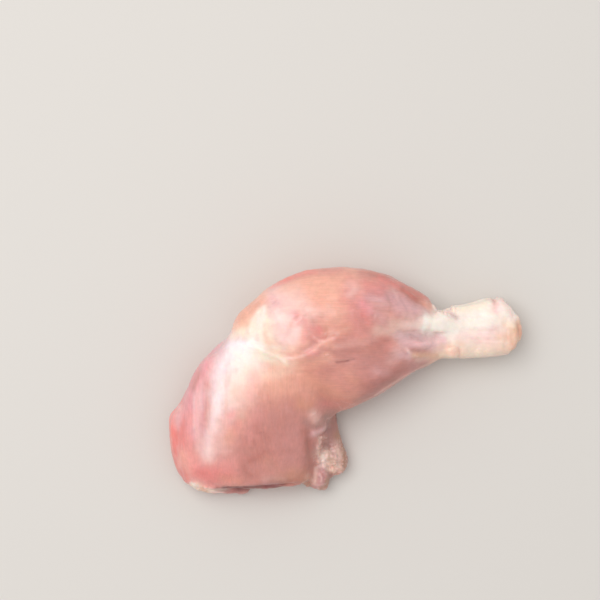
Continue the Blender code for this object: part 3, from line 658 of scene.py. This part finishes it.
    ("butter", 3.6, 0.8, (-53, 26), (-47, 31), (-43.5, 34)),
    ("apricot", 3.6, 0.9, (-56, 29), (-50, 35), (-43, 42)),
    ("orange", 2.4, 0.6, (-53, 30), (-48, 34.5), (-45.5, 37)),
    ("cream", 3.6, 0.9, (-42.5, 33), (-45.5, 27), (-46, 21)),
    ("butter", 2.7, 0.75, (-39, 32), (-38.2, 27), (-36.8, 19.5)),
    ("apricot", 2, 0.2, (-39.4, 31), (-39, 21)), ("lilac", 3, 0.3, (-37, 43), (-35, 40)),
    ("butter", 2.6, 0.6, (-53, 26), (-50, 24)), ("cream", 6, 0.8, (-58, 16), (-50, 14), (-43, 15)),
    ("white", 4, 0.7, (-53, 18), (-47.5, 15)),
    ("apricot", 5.5, 0.5, (-44, 6), (-50, -4), (-56, -15)),
    ("blush", 5, 0.4, (-44, 6), (-48, -5), (-56, -16), (-61, -30)),
    ("cream", 6.2, 0.8, (-48, 10), (-54, 2), (-58, -5)),
    ("apricot", 3, 0.35, (-49, 7), (-52.5, 1), (-55, -4)),
    ("magenta", 2.3, 0.6, (-61.8, 19), (-61.4, 15.6)),
    ("apricot", 2.2, 0.65, (-54, 27.6), (-51.5, 29), (-48.6, 29.4)),
    ("orange", 1.8, 0.35, (-46.5, 35.5), (-43.5, 38.5)),
    ("tan", 2.2, 0.25, (-49, 29.8), (-47, 30.4)), ("tan", 1.7, 0.4, (-36.2, 16.4), (-32.6, 15)),
    ("apricot", 1.8, 0.4, (-26, 13.6), (-22, 13)), ("peach", 1.8, 0.4, (-10.5, 19.4), (-7.5, 19)),
    ("orange", 3, 0.65, (-11, 25.4), (-5, 25), (-1, 27)), ("blush", 2, 0.6, (-30.6, 9.8), (-27, 9)),
    ("cream", 1.8, 0.45, (-41, 14.6), (-38.6, 13.2)), ("rose", 1.8, 0.4, (-38, 47), (-30, 50.6)),
    ("salmon", 1.4, 0.2, (-34, 49.6), (-29, 51.6)), ("lilac", 2.2, 0.5, (-59.6, 17), (-59, 13.6)),
    ("rose", 3, 0.3, (-57, -16), (-56, -20)), ("rose", 2.6, 0.3, (-45, 3), (-47, -6)),
    # The lilac on the thigh's left edge is a painted highlight
    ("orange", 3.4, 0.5, (-53, -15), (-58, -27)), ("lilac", 2.4, 0.35, (-79, -5), (-81.5, -15)),
    ("butter", 2, 0.45, (-45.6, 31), (-46, 27)), ("apricot", 2, 0.5, (-49, 32), (-45, 36.4)),
    ("cream", 1.3, 0.55, (-40.4, 36.6), (-41, 32), (-41.6, 28.6)),
    ("lilac", 1.4, 0.35, (-37.4, 38), (-37.6, 33)),
    ("white", 1.5, 0.7, (-59, 18.6), (-53, 19.2), (-48, 19.4)),
    ("white", 1.9, 0.5, (-63.4, 12), (-64, 0), (-63.8, -10), (-65.2, -22)),
    ("white", 1.8, 0.35, (-60.5, 8), (-61.4, -4)),
    ("beige", 1.4, 0.25, (-58.4, 4), (-59, -4), (-60, -11)),
    ("butter", 2.3, 0.7, (-44, 15), (-37, 12), (-31, 9)),
    ("apricot", 2.2, 0.6, (-38, 20), (-31, 16.6), (-24, 17.2), (-20, 19.6)),
    ("cream", 1.6, 0.4, (-36, 18), (-31, 17), (-27, 17.2)),
    ("peach", 2.8, 0.55, (-27, 10.5), (-18, 11), (-9, 12.5)),
    ("blush", 3.2, 0.4, (-21, 36), (-16, 34.5)), ("blush", 1.6, 0.4, (-24.4, 32), (-24.8, 20)),
    ("rose", 1.4, 0.5, (-20.6, 31), (-20.4, 26), (-21, 20.4)),
    ("red", 1.2, 0.65, (-13.8, 27.4), (-13.4, 25)), ("peach", 2.2, 0.35, (-12, 29.6), (-9, 29)),
    ("rose", 2, 0.7, (-18.5, 15.2), (-15.5, 15)),
    ("apricot", 1.8, 0.45, (-28.6, 17.2), (-26.4, 16.4)),
    ("peach", 3.4, 0.6, (-31, 8.5), (-25, 6), (-24, 10)),
    ("butter", 3, 0.25, (-40, 5), (-32, 5), (-26, 9)),
    ("butter", 1.2, 0.6, (-38, 14.6), (-32, 11.8), (-29.5, 9.6)),
    ("butter", 1.6, 0.4, (-33.5, 13.6), (-30, 12.4)),
    ("butter", 1.6, 0.5, (-58, 22.8), (-55.6, 23)),
    ("orange", 1.6, 0.3, (-30, 7), (-22, 8), (-15, 8.5)),
    ("orange", 2, 0.4, (-17, 9.6), (-12, 10.2)),
    ("meat", 1.4, 0.35, (-22, 17), (-18, 18.8), (-16, 20.8)),
    ("blush", 1, 0.3, (-31, 12), (-25, 12.6), (-21, 14)),
    ("apricot", 1.4, 0.3, (-16, 16.8), (-12.5, 19.4), (-9, 21)),
    ("apricot", 1.4, 0.3, (-12, 14.5), (-9.5, 14.5)),
    ("vein", 0.55, 0.42, (-5.2, 10.6), (-2.4, 10.7), (0.4, 11.5)),
    ("vein", 0.4, 0.3, (-0.4, 11.3), (3.2, 12)),
    # The thigh's front roll: pink at the edge, then the white band of membrane with a painted highlight
    # along it
    ("magenta", 4.5, 0.75, (-62, 20), (-73, 4), (-76, -14), (-75, -24)),
    ("white", 4, 0.7, (-58, 16), (-62, 6), (-64, -5)),
    ("lilac", 2.2, 0.4, (-60, 20), (-63.5, 10), (-65.5, -2), (-66.4, -9)),
    ("blush", 4.2, 0.65, (-61, -2), (-64, -14), (-67, -26), (-68.4, -35)),
    ("blush", 2.2, 0.5, (-67.6, -33), (-68.2, -36.4)),
    ("white", 0.6, 0.25, (-75, -5), (-75.2, -12), (-75, -22)),
    ("magenta", 1.6, 0.3, (-70.5, -6), (-71, -14), (-71, -24)),
    ("lilac", 1.8, 0.4, (-71.4, 1), (-71, -12)), ("magenta", 2.2, 0.8, (-71.6, 6.6), (-75.6, -4)),
    ("mauve", 2, 0.4, (-71.6, 6.4), (-74.6, 1), (-75.6, -3)),
    ("meat", 2, 0.55, (-72.8, 4.4), (-75.4, -2.4)),
    ("blush", 2.4, 0.35, (-61.5, -17), (-62.5, -20)), ("lilac", 3, 0.4, (-56, -13), (-56.4, -18)),
    ("white", 2.4, 0.5, (-63, -7), (-63, -14)),
    ("blush", 2, 0.35, (-73.4, -5), (-73.6, -18), (-73, -32)),
    ("rose", 2.2, 0.4, (-77.4, -16), (-77.6, -28)), ("salmon", 2, 0.25, (-87, -22), (-86, -30)),
    # The blush on the thigh's left edge is a painted highlight
    ("blush", 1.7, 0.45, (-85, -12.4), (-82.6, -13)),
    ("blush", 2.2, 0.2, (-86.6, -17), (-86.2, -21)), ("rose", 1.8, 0.35, (-76, -15), (-76.2, -20)),
    ("red", 2.2, 0.45, (-81.5, -20), (-81, -29)), ("lilac", 2.4, 0.35, (-69.4, -24), (-70.2, -34)),
    ("coral", 2.8, 0.5, (-54, -20.6), (-54.4, -23.4)),
    ("rose", 1.7, 0.55, (-57, -15.6), (-55.6, -14.8)),
    ("beige", 1.5, 0.35, (-51.4, -13.6), (-51.4, -16)),
    ("coral", 2.2, 0.45, (-52.4, -19), (-53, -22.4)),
    ("white", 1.7, 0.15, (-65.5, -10), (-67, -22), (-67.8, -34)),
    ("red", 2.6, 0.5, (-86.5, -29), (-87, -35)),
    # The flap and the rim of the cut, with painted shade between the lumps, along the flap's edge and
    # at the rim
    ("meat_brown", 4, 0.6, (-14, -14), (-10, -20)),
    ("bruise", 2.2, 0.5, (-20.5, -18.5), (-18.2, -20.8)),
    ("mauve", 2.8, 0.35, (-17, -15.6), (-15, -19)),
    ("lilac", 2.1, 0.5, (-16.6, -25.2), (-13.4, -24.2), (-10.4, -22.6)),
    ("bruise", 1.8, 0.6, (-15.5, -21.8), (-12, -20.6), (-10, -17)),
    ("beige", 2.4, 0.5, (-16.6, -15.6), (-15.4, -18)),
    ("lobule", 1.1, 0.4, (-13.2, -28), (-13.8, -33), (-13.8, -37)),
    ("bruise", 1.2, 0.35, (-15.8, -30), (-16.2, -36)),
    ("lobule", 3.6, 0.75, (-12, -38), (-10, -36), (-8, -41)),
    ("cream", 1.4, 0.4, (-11.6, -37), (-11, -39), (-12.4, -42.6)),
    ("brown", 2.2, 0.4, (-8, -39), (-6.6, -41.4)),
    ("brown", 2.4, 0.7, (-4, -27), (-1.8, -35), (-1, -44)),
    ("bruise", 1.6, 0.5, (-2.6, -32), (-1.2, -38), (-1.4, -43)),
    ("mauve", 2.2, 0.6, (-5.5, -32), (-4, -37)), ("apricot", 1.5, 0.75, (-7, -43.6), (-6.6, -45)),
    ("beige", 1.7, 0.4, (-4.6, -31), (-3.6, -38), (-3.6, -44)),
    ("beige", 1.5, 0.5, (-12, -28.2), (-11, -29.6)), ("vein", 1.6, 0.3, (-6.6, -47), (-8, -49)),
    ("brown", 1.5, 0.5, (-1.4, -34), (-1, -42)), ("brown", 1.5, 0.35, (-6, -45.8), (-3.8, -46.8)),
    ("lobule", 1.5, 0.4, (-4, -43.4), (-3, -44.6)),
    ("bruise", 2.4, 0.6, (-10.4, -32.6), (-8.6, -31.4), (-7, -31)),
    ("lobule", 2, 0.45, (-4.5, -34), (-3.8, -38)), ("bruise", 3.2, 0.65, (-9, -16.6), (-8, -24)),
    ("vein", 2.2, 0.3, (-6, -15.6), (-5, -19.4)), ("mauve", 2.8, 0.85, (-13, -45), (-12.6, -52)),
    ("rose", 1.6, 0.3, (-12, -46), (-10, -48)), ("meat_dark", 1.8, 0.25, (-13, -47), (-12.4, -50)),
    ("bruise", 1.4, 0.4, (-9, -46), (-9, -51)),
    ("brown", 1.6, 0.6, (-13, -54), (-10.4, -53), (-9, -50)),
    ("brown", 1.8, 0.45, (-21, -50.6), (-18.4, -52)),
    ("beige", 1.1, 0.6, (-15.2, -43.5), (-15.6, -51)),
    ("butter", 1.9, 0.6, (-76.5, -52.6), (-73, -53.6), (-69, -55.2)),
    ("apricot", 1.8, 0.6, (-74, -51.6), (-70, -54.6)),
    ("cream", 1.2, 0.6, (-77.2, -51), (-74.4, -51.8)),
    ("brown", 0.8, 0.5, (-73, -54.8), (-71, -55.6)), ("red", 2.2, 0.75, (-83, -45), (-81, -49.4)),
    ("tan", 1, 0.5, (-71, -54.5), (-70, -56)),
    ("vein", 1.2, 0.95, (-61, -53), (-54, -53), (-44, -52.8), (-34, -52)),
    ("vein", 2, 0.6, (-54, -54), (-43, -53.2), (-32, -52)),
    ("blush", 0.8, 0.5, (-68, -55.6), (-62, -56.2)),
    ("bruise", 1.6, 0.6, (-60, -55.4), (-52, -55.6), (-44, -54)),
    ("brown", 0.8, 0.55, (-65, -54.4), (-61.6, -54.8)),
    ("vein", 1.3, 0.45, (-56, -54), (-50, -54.2), (-44, -53.6)),
    # Last touches all over, among them painted shade on the flap and along the rim of the cut
    ("rose", 1.5, 0.5, (-24.6, 34), (-24, 29)), ("cream", 2.6, 0.5, (46, 27.4), (54, 27.2)),
    # The lilac on the thigh's left edge is a painted highlight
    ("blush", 2, 0.5, (80, 36.4), (82.4, 32.6)), ("lilac", 2.4, 0.4, (-85, -12), (-83.4, -19)),
    ("bruise", 2.2, 0.28, (33, 8), (39, 8.4)), ("bruise", 2.4, 0.25, (-9, -30.6), (-7, -35)),
    ("bruise", 1.2, 0.4, (-65, -54.4), (-60, -55)), ("bruise", 1.2, 0.45, (-48, -53), (-42, -52.6)),
    ("mauve", 1.4, 0.35, (-40.6, -50.4), (-34.4, -50.6)),
    ("lobule", 1.2, 0.5, (-8, -44.4), (-6, -45)),
)


def smooth_step(low, high, values):
    """From 0 at low to 1 at high, easing in and out."""
    share = np.clip((values - low) / (high - low), 0.0, 1.0)
    return share * share * (3.0 - 2.0 * share)


def curve_through(spots, samples=25):
    """Points along a smooth curve through the spots."""
    spots = np.array(spots, float)
    ends = np.vstack([spots[:1], spots, spots[-1:]])
    points = []
    for t in np.linspace(0.0, len(spots) - 1.0, samples):
        first = min(int(t), len(spots) - 2)
        before, start, finish, after = ends[first:first + 4]
        u = t - first
        points.append(0.5 * (
            2.0 * start
            + (finish - before) * u
            + (2.0 * before - 5.0 * start + 4.0 * finish - after) * u ** 2
            + (3.0 * start - before - 3.0 * finish + after) * u ** 3
        ))
    return np.array(points)


class Skin:
    """The points and normals of a mesh in millimetres, for working on them with strokes."""

    def __init__(self, mesh):
        self.mesh = mesh
        flat = np.empty(len(mesh.vertices) * 3, np.float32)
        mesh.vertices.foreach_get("co", flat)
        self.places = flat.reshape(-1, 3).astype(float) / MM
        mesh.vertices.foreach_get("normal", flat)
        self.normals = flat.reshape(-1, 3).astype(float)
        (knee_x, knee_y), slope, blend = KNEE_LINE
        below = knee_y + slope * (self.places[:, 0] - knee_x) - self.places[:, 1]
        self.thigh_share = smooth_step(-blend, blend, below)

    def field(self, size, shift):
        """Smooth noise from about -1 to 1 at every point, its lumps as wide as size says."""
        scaled = self.places / np.array(size, float) + shift
        return np.array([noise.noise(place) for place in scaled])

    def streaks(self, along, across, shift):
        """Noise drawn out along the thigh's muscles on the thigh and along the shin elsewhere."""
        thigh = self.field((across, along, across), shift)
        shin = self.field((along, across, across), shift + SHIN_SHIFT)
        return shin + (thigh - shin) * self.thigh_share

    def on_sides(self, upright, loss, least):
        """How strongly a pattern that is meant for the sides acts at each point."""
        return np.clip(upright - loss * self.normals[:, 2], least, 1.0)

    def cobbles(self, width, where):
        """Packed rounded lumps where it says: 1 on their tops and 0 in the gaps between them."""
        tops = np.zeros(len(self.places))
        for index in np.nonzero(where > WEAKEST_COBBLES)[0]:
            nearest, second = noise.voronoi(Vector(self.places[index] / width))[0][:2]
            tops[index] = math.sqrt(max(0.0, 1.0 - (2.0 * nearest / (nearest + second)) ** 2))
        return tops

    def eased(self, steps, share=1.0):
        """The points after drawing them towards their neighbours step by step, as strongly as share."""
        edges = np.empty(len(self.mesh.edges) * 2, np.int32)
        self.mesh.edges.foreach_get("vertices", edges)
        starts, ends = edges.reshape(-1, 2).T
        total = len(self.places)
        valence = np.bincount(starts, minlength=total) + np.bincount(ends, minlength=total)
        places = self.places.copy()
        for _ in range(steps):
            for axis in range(3):
                values = places[:, axis]
                around = np.bincount(starts, values[ends], total)
                around += np.bincount(ends, values[starts], total)
                places[:, axis] += 0.5 * share * (around / valence - values)
        return places

    def hollows(self):
        """How far each point lies below its surroundings, in millimetres, negative on ridges."""
        return ((self.eased(HOLLOW_STEPS) - self.places) * self.normals).sum(1)

    def facing(self, side):
        """From 0 to 1, how strongly a stroke from that side acts on a point that faces as each does."""
        _, axis, factor, added = SIDES[side]
        return np.clip(factor * self.normals[:, axis] + added, 0.0, 1.0)

    def stroke(self, spots, left, right, wander=0.0, fading=False, side="top"):
        """From 0 to 1, how close each point is to a stroke through the spots, seen from a side."""
        path = curve_through(spots)
        plan = self.places[:, SIDES[side][0]] + wander
        margin = STROKE_REACH * max(left, right)
        low, high = path.min(0) - margin, path.max(0) + margin
        inside = np.nonzero(np.all((plan > low) & (plan < high), axis=1))[0]
        here = plan[inside]
        nearest = np.full(len(inside), np.inf)
        width = np.full(len(inside), left, float)
        end_share = np.zeros(len(inside))
        spans = len(path) - 1
        for index in range(spans):
            start, way = path[index], path[index + 1] - path[index]
            off = here - start
            t = np.clip(off @ way / max(way @ way, 1e-9), 0.0, 1.0)
            gap = off - t[:, None] * way
            apart = np.hypot(gap[:, 0], gap[:, 1])
            closer = apart < nearest
            nearest[closer] = apart[closer]
            on_left = way[0] * gap[:, 1] - way[1] * gap[:, 0] > 0.0
            width[closer] = np.where(on_left, left, right)[closer]
            end_share[closer] = ((index + t) / spans)[closer]
        acts = np.zeros(len(plan))
        acts[inside] = np.exp(-(nearest / width) ** 2)
        if fading:
            from_end = np.minimum(end_share, 1.0 - end_share)
            acts[inside] *= smooth_step(0.0, FADE_LENGTH, from_end + FADE_START)
        return acts

    def settle(self, places):
        """Moves the points to those places, given in millimetres."""
        self.places = places
        self.mesh.vertices.foreach_set("co", (places * MM).astype(np.float32).ravel())
        self.mesh.update()


def deselect_all():
    for model in bpy.context.selected_objects:
        model.select_set(False)


def make_active(model):
    deselect_all()
    model.select_set(True)
    bpy.context.view_layer.objects.active = model


def apply_modifier(model, kind, **settings):
    make_active(model)
    modifier = model.modifiers.new(kind.lower(), kind)
    for name, value in settings.items():
        setattr(modifier, name, value)
    bpy.ops.object.modifier_apply(modifier=modifier.name)


def add_lump(fineness, radius, place, turn, stretch):
    deselect_all()
    bpy.ops.mesh.primitive_ico_sphere_add(
        subdivisions=fineness, radius=radius, location=place, rotation=turn, scale=stretch)
    return bpy.context.object


def add_node(tree, kind, inputs=(), **settings):
    """A shader node with its settings, its inputs given by name or number as values or outputs."""
    node = tree.nodes.new(kind)
    for name, value in settings.items():
        setattr(node, name, value)
    for name, value in dict(inputs).items():
        if isinstance(value, bpy.types.NodeSocket):
            tree.links.new(value, node.inputs[name])
        else:
            node.inputs[name].default_value = value
    return node


def noise_node(tree, place, scale, detail=3.0, roughness=0.5):
    """The value of a noise pattern whose scale counts lumps to the metre along each axis."""
    spread = add_node(tree, "ShaderNodeMapping", {"Vector": place, "Scale": scale})
    pattern = add_node(tree, "ShaderNodeTexNoise", {
        "Vector": spread.outputs["Vector"], "Scale": 1.0, "Detail": detail, "Roughness": roughness})
    return pattern.outputs["Fac"]


def ranged(tree, pattern, low, high):
    """A noise value, stretched so that its usual range runs from low to high."""
    return add_node(tree, "ShaderNodeMapRange", {
        "Value": pattern, "From Min": NOISE_RANGE[0], "From Max": NOISE_RANGE[1],
        "To Min": low, "To Max": high}).outputs["Result"]


def calculate(tree, operation, first, second):
    node = add_node(tree, "ShaderNodeMath", {0: first, 1: second}, operation=operation)
    return node.outputs["Value"]


def flesh_material():
    """Moist flesh: the painted colour with fine marbling, a wet coat and fibres along the muscles."""
    material = bpy.data.materials.new("raw_flesh")
    material.use_nodes = True
    tree = material.node_tree
    shader = tree.nodes["Principled BSDF"]
    place = add_node(tree, "ShaderNodeTexCoord").outputs["Object"]
    paint = add_node(tree, "ShaderNodeAttribute", attribute_name=PAINT).outputs["Color"]
    finish = add_node(tree, "ShaderNodeAttribute", attribute_name=FINISH).outputs["Color"]
    shares = add_node(tree, "ShaderNodeSeparateColor", {"Color": finish}).outputs
    fat, thigh = shares["Red"], shares["Green"]
    lean = calculate(tree, "SUBTRACT", 1.0, fat)

    along, across, through = FIBRE_SCALE
    shin_fibres = noise_node(tree, place, (along, across, through))
    thigh_fibres = noise_node(tree, place, (across, along, through))
    fibres = add_node(tree, "ShaderNodeMix", {0: thigh, 2: shin_fibres, 3: thigh_fibres}).outputs[0]
    mottle = noise_node(tree, place, [MOTTLE_SCALE] * 3, detail=5.0, roughness=0.6)
    grain = noise_node(tree, place, [GRAIN_SCALE] * 3, detail=2.0)

    fibre_tone = calculate(tree, "MULTIPLY", lean, ranged(tree, fibres, *FIBRE_TONES))
    tone = calculate(tree, "ADD", ranged(tree, mottle, *MOTTLE_TONES), fibre_tone)
    coloured = add_node(tree, "ShaderNodeVectorMath", {0: paint, 1: tone}, operation="MULTIPLY")
    tree.links.new(coloured.outputs["Vector"], shader.inputs["Base Color"])

    fibre_height = calculate(tree, "MULTIPLY", fibres, lean)
    grain_height = calculate(tree, "MULTIPLY", grain, GRAIN_HEIGHT)
    height = calculate(tree, "ADD", fibre_height, grain_height)
    bump = add_node(tree, "ShaderNodeBump", {"Height": height, **BUMP})
    tree.links.new(bump.outputs["Normal"], shader.inputs["Normal"])
    tree.links.new(ranged(tree, mottle, *ROUGHNESSES), shader.inputs["Roughness"])
    for name, value in MOISTURE.items():
        shader.inputs[name].default_value = value
    return material


class LEG_OT_flesh(bpy.types.Operator):
    """Copy the CAD leg as one closed skin"""

    bl_idname = "leg.flesh"
    bl_label = "Flesh"

    def execute(self, context):
        leg = bpy.data.objects.new(PIECE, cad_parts[NODE].data.copy())
        context.scene.collection.objects.link(leg)
        leg.data.materials.clear()
        make_active(leg)
        bpy.ops.object.mode_set(mode="EDIT")
        bpy.ops.mesh.select_all(action="SELECT")
        bpy.ops.mesh.remove_doubles(threshold=MERGE_DISTANCE)
        bpy.ops.object.mode_set(mode="OBJECT")
        return {"FINISHED"}


class LEG_OT_fat(bpy.types.Operator):
    """Set lobules of fat and a pad of tendon on the leg and fuse them to the flesh"""

    bl_idname = "leg.fat"
    bl_label = "Fat"

    def execute(self, context):
        form = context.scene.leg_form
        leg = bpy.data.objects[PIECE]
        draw = random.Random(form.seed)
        lumps = []
        for (x, y), (wide, high), number in LOBULES:
            for _ in range(number):
                spot = Vector((draw.gauss(x, wide / 2), draw.gauss(y, high / 2), DROP_HEIGHT)) * MM
                hit, place, normal, _ = leg.ray_cast(spot, Vector((0.0, 0.0, -1.0)))
                turn = Euler([draw.uniform(0.0, math.pi) for _ in range(3)])
                stretch = [draw.uniform(*LOBULE_STRETCH) for _ in range(3)]
                radius = form.lobule * draw.uniform(*LOBULE_SIZES)
                if not hit:
                    continue
                place -= normal * radius * LOBULE_SINK
                place.z = max(place.z, LOBULE_LOWEST * radius)
                lumps.append(add_lump(LOBULE_FINENESS, radius, place, turn, stretch))
        for middle, radii, tilt in PADS:
            turn = (0.0, math.radians(tilt), 0.0)
            lumps.append(add_lump(PAD_FINENESS, MM, Vector(middle) * MM, turn, radii))
        make_active(leg)
        for lump in lumps:
            lump.select_set(True)
        bpy.ops.object.join()
        apply_modifier(leg, "REMESH", mode="VOXEL", voxel_size=form.cell, use_smooth_shade=True)
        apply_modifier(leg, "SMOOTH", factor=0.5, iterations=FUSING_STEPS)
        return {"FINISHED"}


class LEG_OT_relief(bpy.types.Operator):
    """Work the seams, folds, tendons and fibres into the surface"""

    bl_idname = "leg.relief"
    bl_label = "Relief"

    def execute(self, context):
        form = context.scene.leg_form
        leg = bpy.data.objects[PIECE]
        skin = Skin(leg.data)
        lumps = skin.field(*LUMPS) + SMALL_LUMPS_SHARE * skin.field(*SMALL_LUMPS)
        heights = form.lumpiness / MM * lumps
        heights += form.graininess / MM * skin.streaks(*FIBRES)
        heights += form.bundles / MM * skin.streaks(*BUNDLES) * skin.on_sides(*BUNDLE_SPREAD)
        for side, strokes in {"top": RELIEF, **SIDE_RELIEF}.items():
            for left, right, height, *spots in strokes:
                acts = skin.stroke(spots, left, right, fading=True, side=side)
                heights += form.relief * height * acts * skin.facing(side)
        for side, half_width, width, height, *spots in COBBLES:
            where = skin.stroke(spots, half_width, half_width, side=side) * skin.facing(side)
            heights += form.relief * height * where * (skin.cobbles(width, where) - GAP_SHARE)
        heights *= smooth_step(*RELIEF_RISE, skin.places[:, 2])
        skin.places += skin.normals * heights[:, None]
        soft = sum(skin.stroke(spots, half_width, half_width) for half_width, *spots in SOFTENED)
        skin.settle(skin.eased(SOFTENING_STEPS, np.clip(soft, 0.0, 1.0)))
        leg.data.calc_loop_triangles()
        ratio = min(1.0, form.triangles / len(leg.data.loop_triangles))
        apply_modifier(leg, "DECIMATE", ratio=ratio)
        leg.data.shade_smooth()
        return {"FINISHED"}


class LEG_OT_paint(bpy.types.Operator):
    """Paint the flesh in its zones and give it its wet material"""

    bl_idname = "leg.paint"
    bl_label = "Paint"

    def execute(self, context):
        colours = context.scene.leg_colours
        leg = bpy.data.objects[PIECE]
        skin = Skin(leg.data)
        wander = WANDER * np.stack([skin.field(*pattern) for pattern in WANDER_PATTERNS], 1)
        ragged = RAGGEDNESS * skin.streaks(*RAGGED_STREAKS) + RAGGEDNESS * skin.field(*RAGGED_SPOTS)
        coat = np.tile(linear(colours.meat), (len(skin.places), 1))
        fat = np.zeros(len(coat))

        def lay(name, share):
            coat[:] += (linear(getattr(colours, name)) - coat) * share[:, None]
            fat[:] += ((name in FATTY) - fat) * share

        def paint(strokes, side, reach):
            for name, half_width, strength, *spots in strokes:
                drift = wander * min(1.0, half_width / WANDER_WIDTH)
                share = skin.stroke(spots, half_width, half_width, drift, side=side)
                share = np.clip(share + ragged * share * (1.0 - share), 0.0, 1.0)
                lay(name, strength * share * reach)

        paint(WRAPS, "top", 1.0)
        for side, strokes in SIDE_PAINTING.items():
            paint(strokes, side, skin.facing(side))
        paint(PAINTING, "top", np.clip(TOP_COVER * skin.normals[:, 2], 0.0, 1.0))
        lean_side = (1.0 - fat) * skin.on_sides(*LINE_SPREAD)
        for name, streaks, patches, limits, half_width, strength in THIN_LINES:
            lines = 1.0 - smooth_step(0.0, half_width, np.abs(skin.streaks(*streaks)))
            lay(name, strength * lean_side * smooth_step(*limits, skin.field(*patches)) * lines)
        # Painted shade in the hollows and painted highlight on the ridges
        hollows = skin.hollows()
        hollow_shade_share = smooth_step(*HOLLOW_SHADE_DEPTHS, hollows)
        lay("meat_dark", HOLLOW_SHADE_STRENGTH * hollow_shade_share * (1.0 - HOLLOW_SHADE_IN_FAT * fat))
        lay("blush", RIDGE_HIGHLIGHT_STRENGTH * smooth_step(*RIDGE_HIGHLIGHT_HEIGHTS, -hollows))
        coat *= (1.0 + TONE_CHANGE * skin.field(*TONES))[:, None]
        finish = np.stack([fat, skin.thigh_share, np.zeros(len(fat))], 1)
        for attribute, values in ((PAINT, coat), (FINISH, finish)):
            layer = leg.data.color_attributes.new(attribute, "FLOAT_COLOR", "POINT")
            opaque = np.insert(values, 3, 1.0, axis=1)
            layer.data.foreach_set("color", opaque.astype(np.float32).ravel())
        leg.data.materials.append(flesh_material())
        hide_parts(NODE)
        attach(leg, "root")
        return {"FINISHED"}


class LEG_OT_stage(bpy.types.Operator):
    """Set the pale floor, the soft light from the upper left and the camera overhead"""

    bl_idname = "leg.stage"
    bl_label = "Stage"

    def execute(self, context):
        stage = context.scene.leg_stage
        deselect_all()
        bpy.ops.mesh.primitive_plane_add(size=FLOOR_WIDTH, location=(0.0, 0.0, 0.0))
        floor = context.object
        floor.name = "floor"
        surface = bpy.data.materials.new("pale_floor")
        surface.use_nodes = True
        shader = surface.node_tree.nodes["Principled BSDF"]
        shader.inputs["Base Color"].default_value = (*linear(stage.floor_tone), 1.0)
        shader.inputs["Roughness"].default_value = FLOOR_ROUGHNESS
        floor.data.materials.append(surface)

        world = bpy.data.worlds.new("studio")
        world.use_nodes = True
        world.node_tree.nodes["Background"].inputs["Color"].default_value = (1.0, 1.0, 1.0, 1.0)
        world.node_tree.nodes["Background"].inputs["Strength"].default_value = stage.fill
        context.scene.world = world

        bpy.ops.object.light_add(type="AREA", location=LIGHT_PLACE)
        key = context.object
        key.name = "window_light"
        key.data.size = stage.key_size
        key.data.energy = stage.key_power
        aim = Vector(LIGHT_TARGET) - key.location
        key.rotation_euler = aim.to_track_quat("-Z", "Y").to_euler()

        camera_place = (*CAMERA_PLACE, stage.camera_height)
        bpy.ops.object.camera_add(location=camera_place, rotation=(0.0, 0.0, 0.0))
        camera = context.object
        camera.name = "overhead_camera"
        camera.data.lens = stage.lens
        context.scene.camera = camera
        context.scene.view_settings.view_transform = "Standard"
        return {"FINISHED"}


OPERATORS = (LEG_OT_flesh, LEG_OT_fat, LEG_OT_relief, LEG_OT_paint, LEG_OT_stage)


class LEG_PT_panel(bpy.types.Panel):
    """Lists the leg's operators and settings in the sidebar"""

    bl_idname = "LEG_PT_panel"
    bl_label = "Leg Quarter"
    bl_space_type = "VIEW_3D"
    bl_region_type = "UI"
    bl_category = "Leg Quarter"

    def draw(self, context):
        for operator in OPERATORS:
            self.layout.operator(operator.bl_idname)
        for group in (context.scene.leg_form, context.scene.leg_colours, context.scene.leg_stage):
            for name in group.__annotations__:
                self.layout.prop(group, name)


GROUPS = {"leg_form": LegForm, "leg_colours": LegColours, "leg_stage": LegStage}


def register():
    for name, group in GROUPS.items():
        bpy.utils.register_class(group)
        setattr(bpy.types.Scene, name, bpy.props.PointerProperty(type=group))
    for part in (*OPERATORS, LEG_PT_panel):
        bpy.utils.register_class(part)


def unregister():
    for part in (LEG_PT_panel, *reversed(OPERATORS)):
        bpy.utils.unregister_class(part)
    for name, group in GROUPS.items():
        delattr(bpy.types.Scene, name)
        bpy.utils.unregister_class(group)


def main():
    register()
    bpy.ops.leg.flesh()
    bpy.ops.leg.fat()
    bpy.ops.leg.relief()
    bpy.ops.leg.paint()
    bpy.ops.leg.stage()


if __name__ == "__main__":
    main()
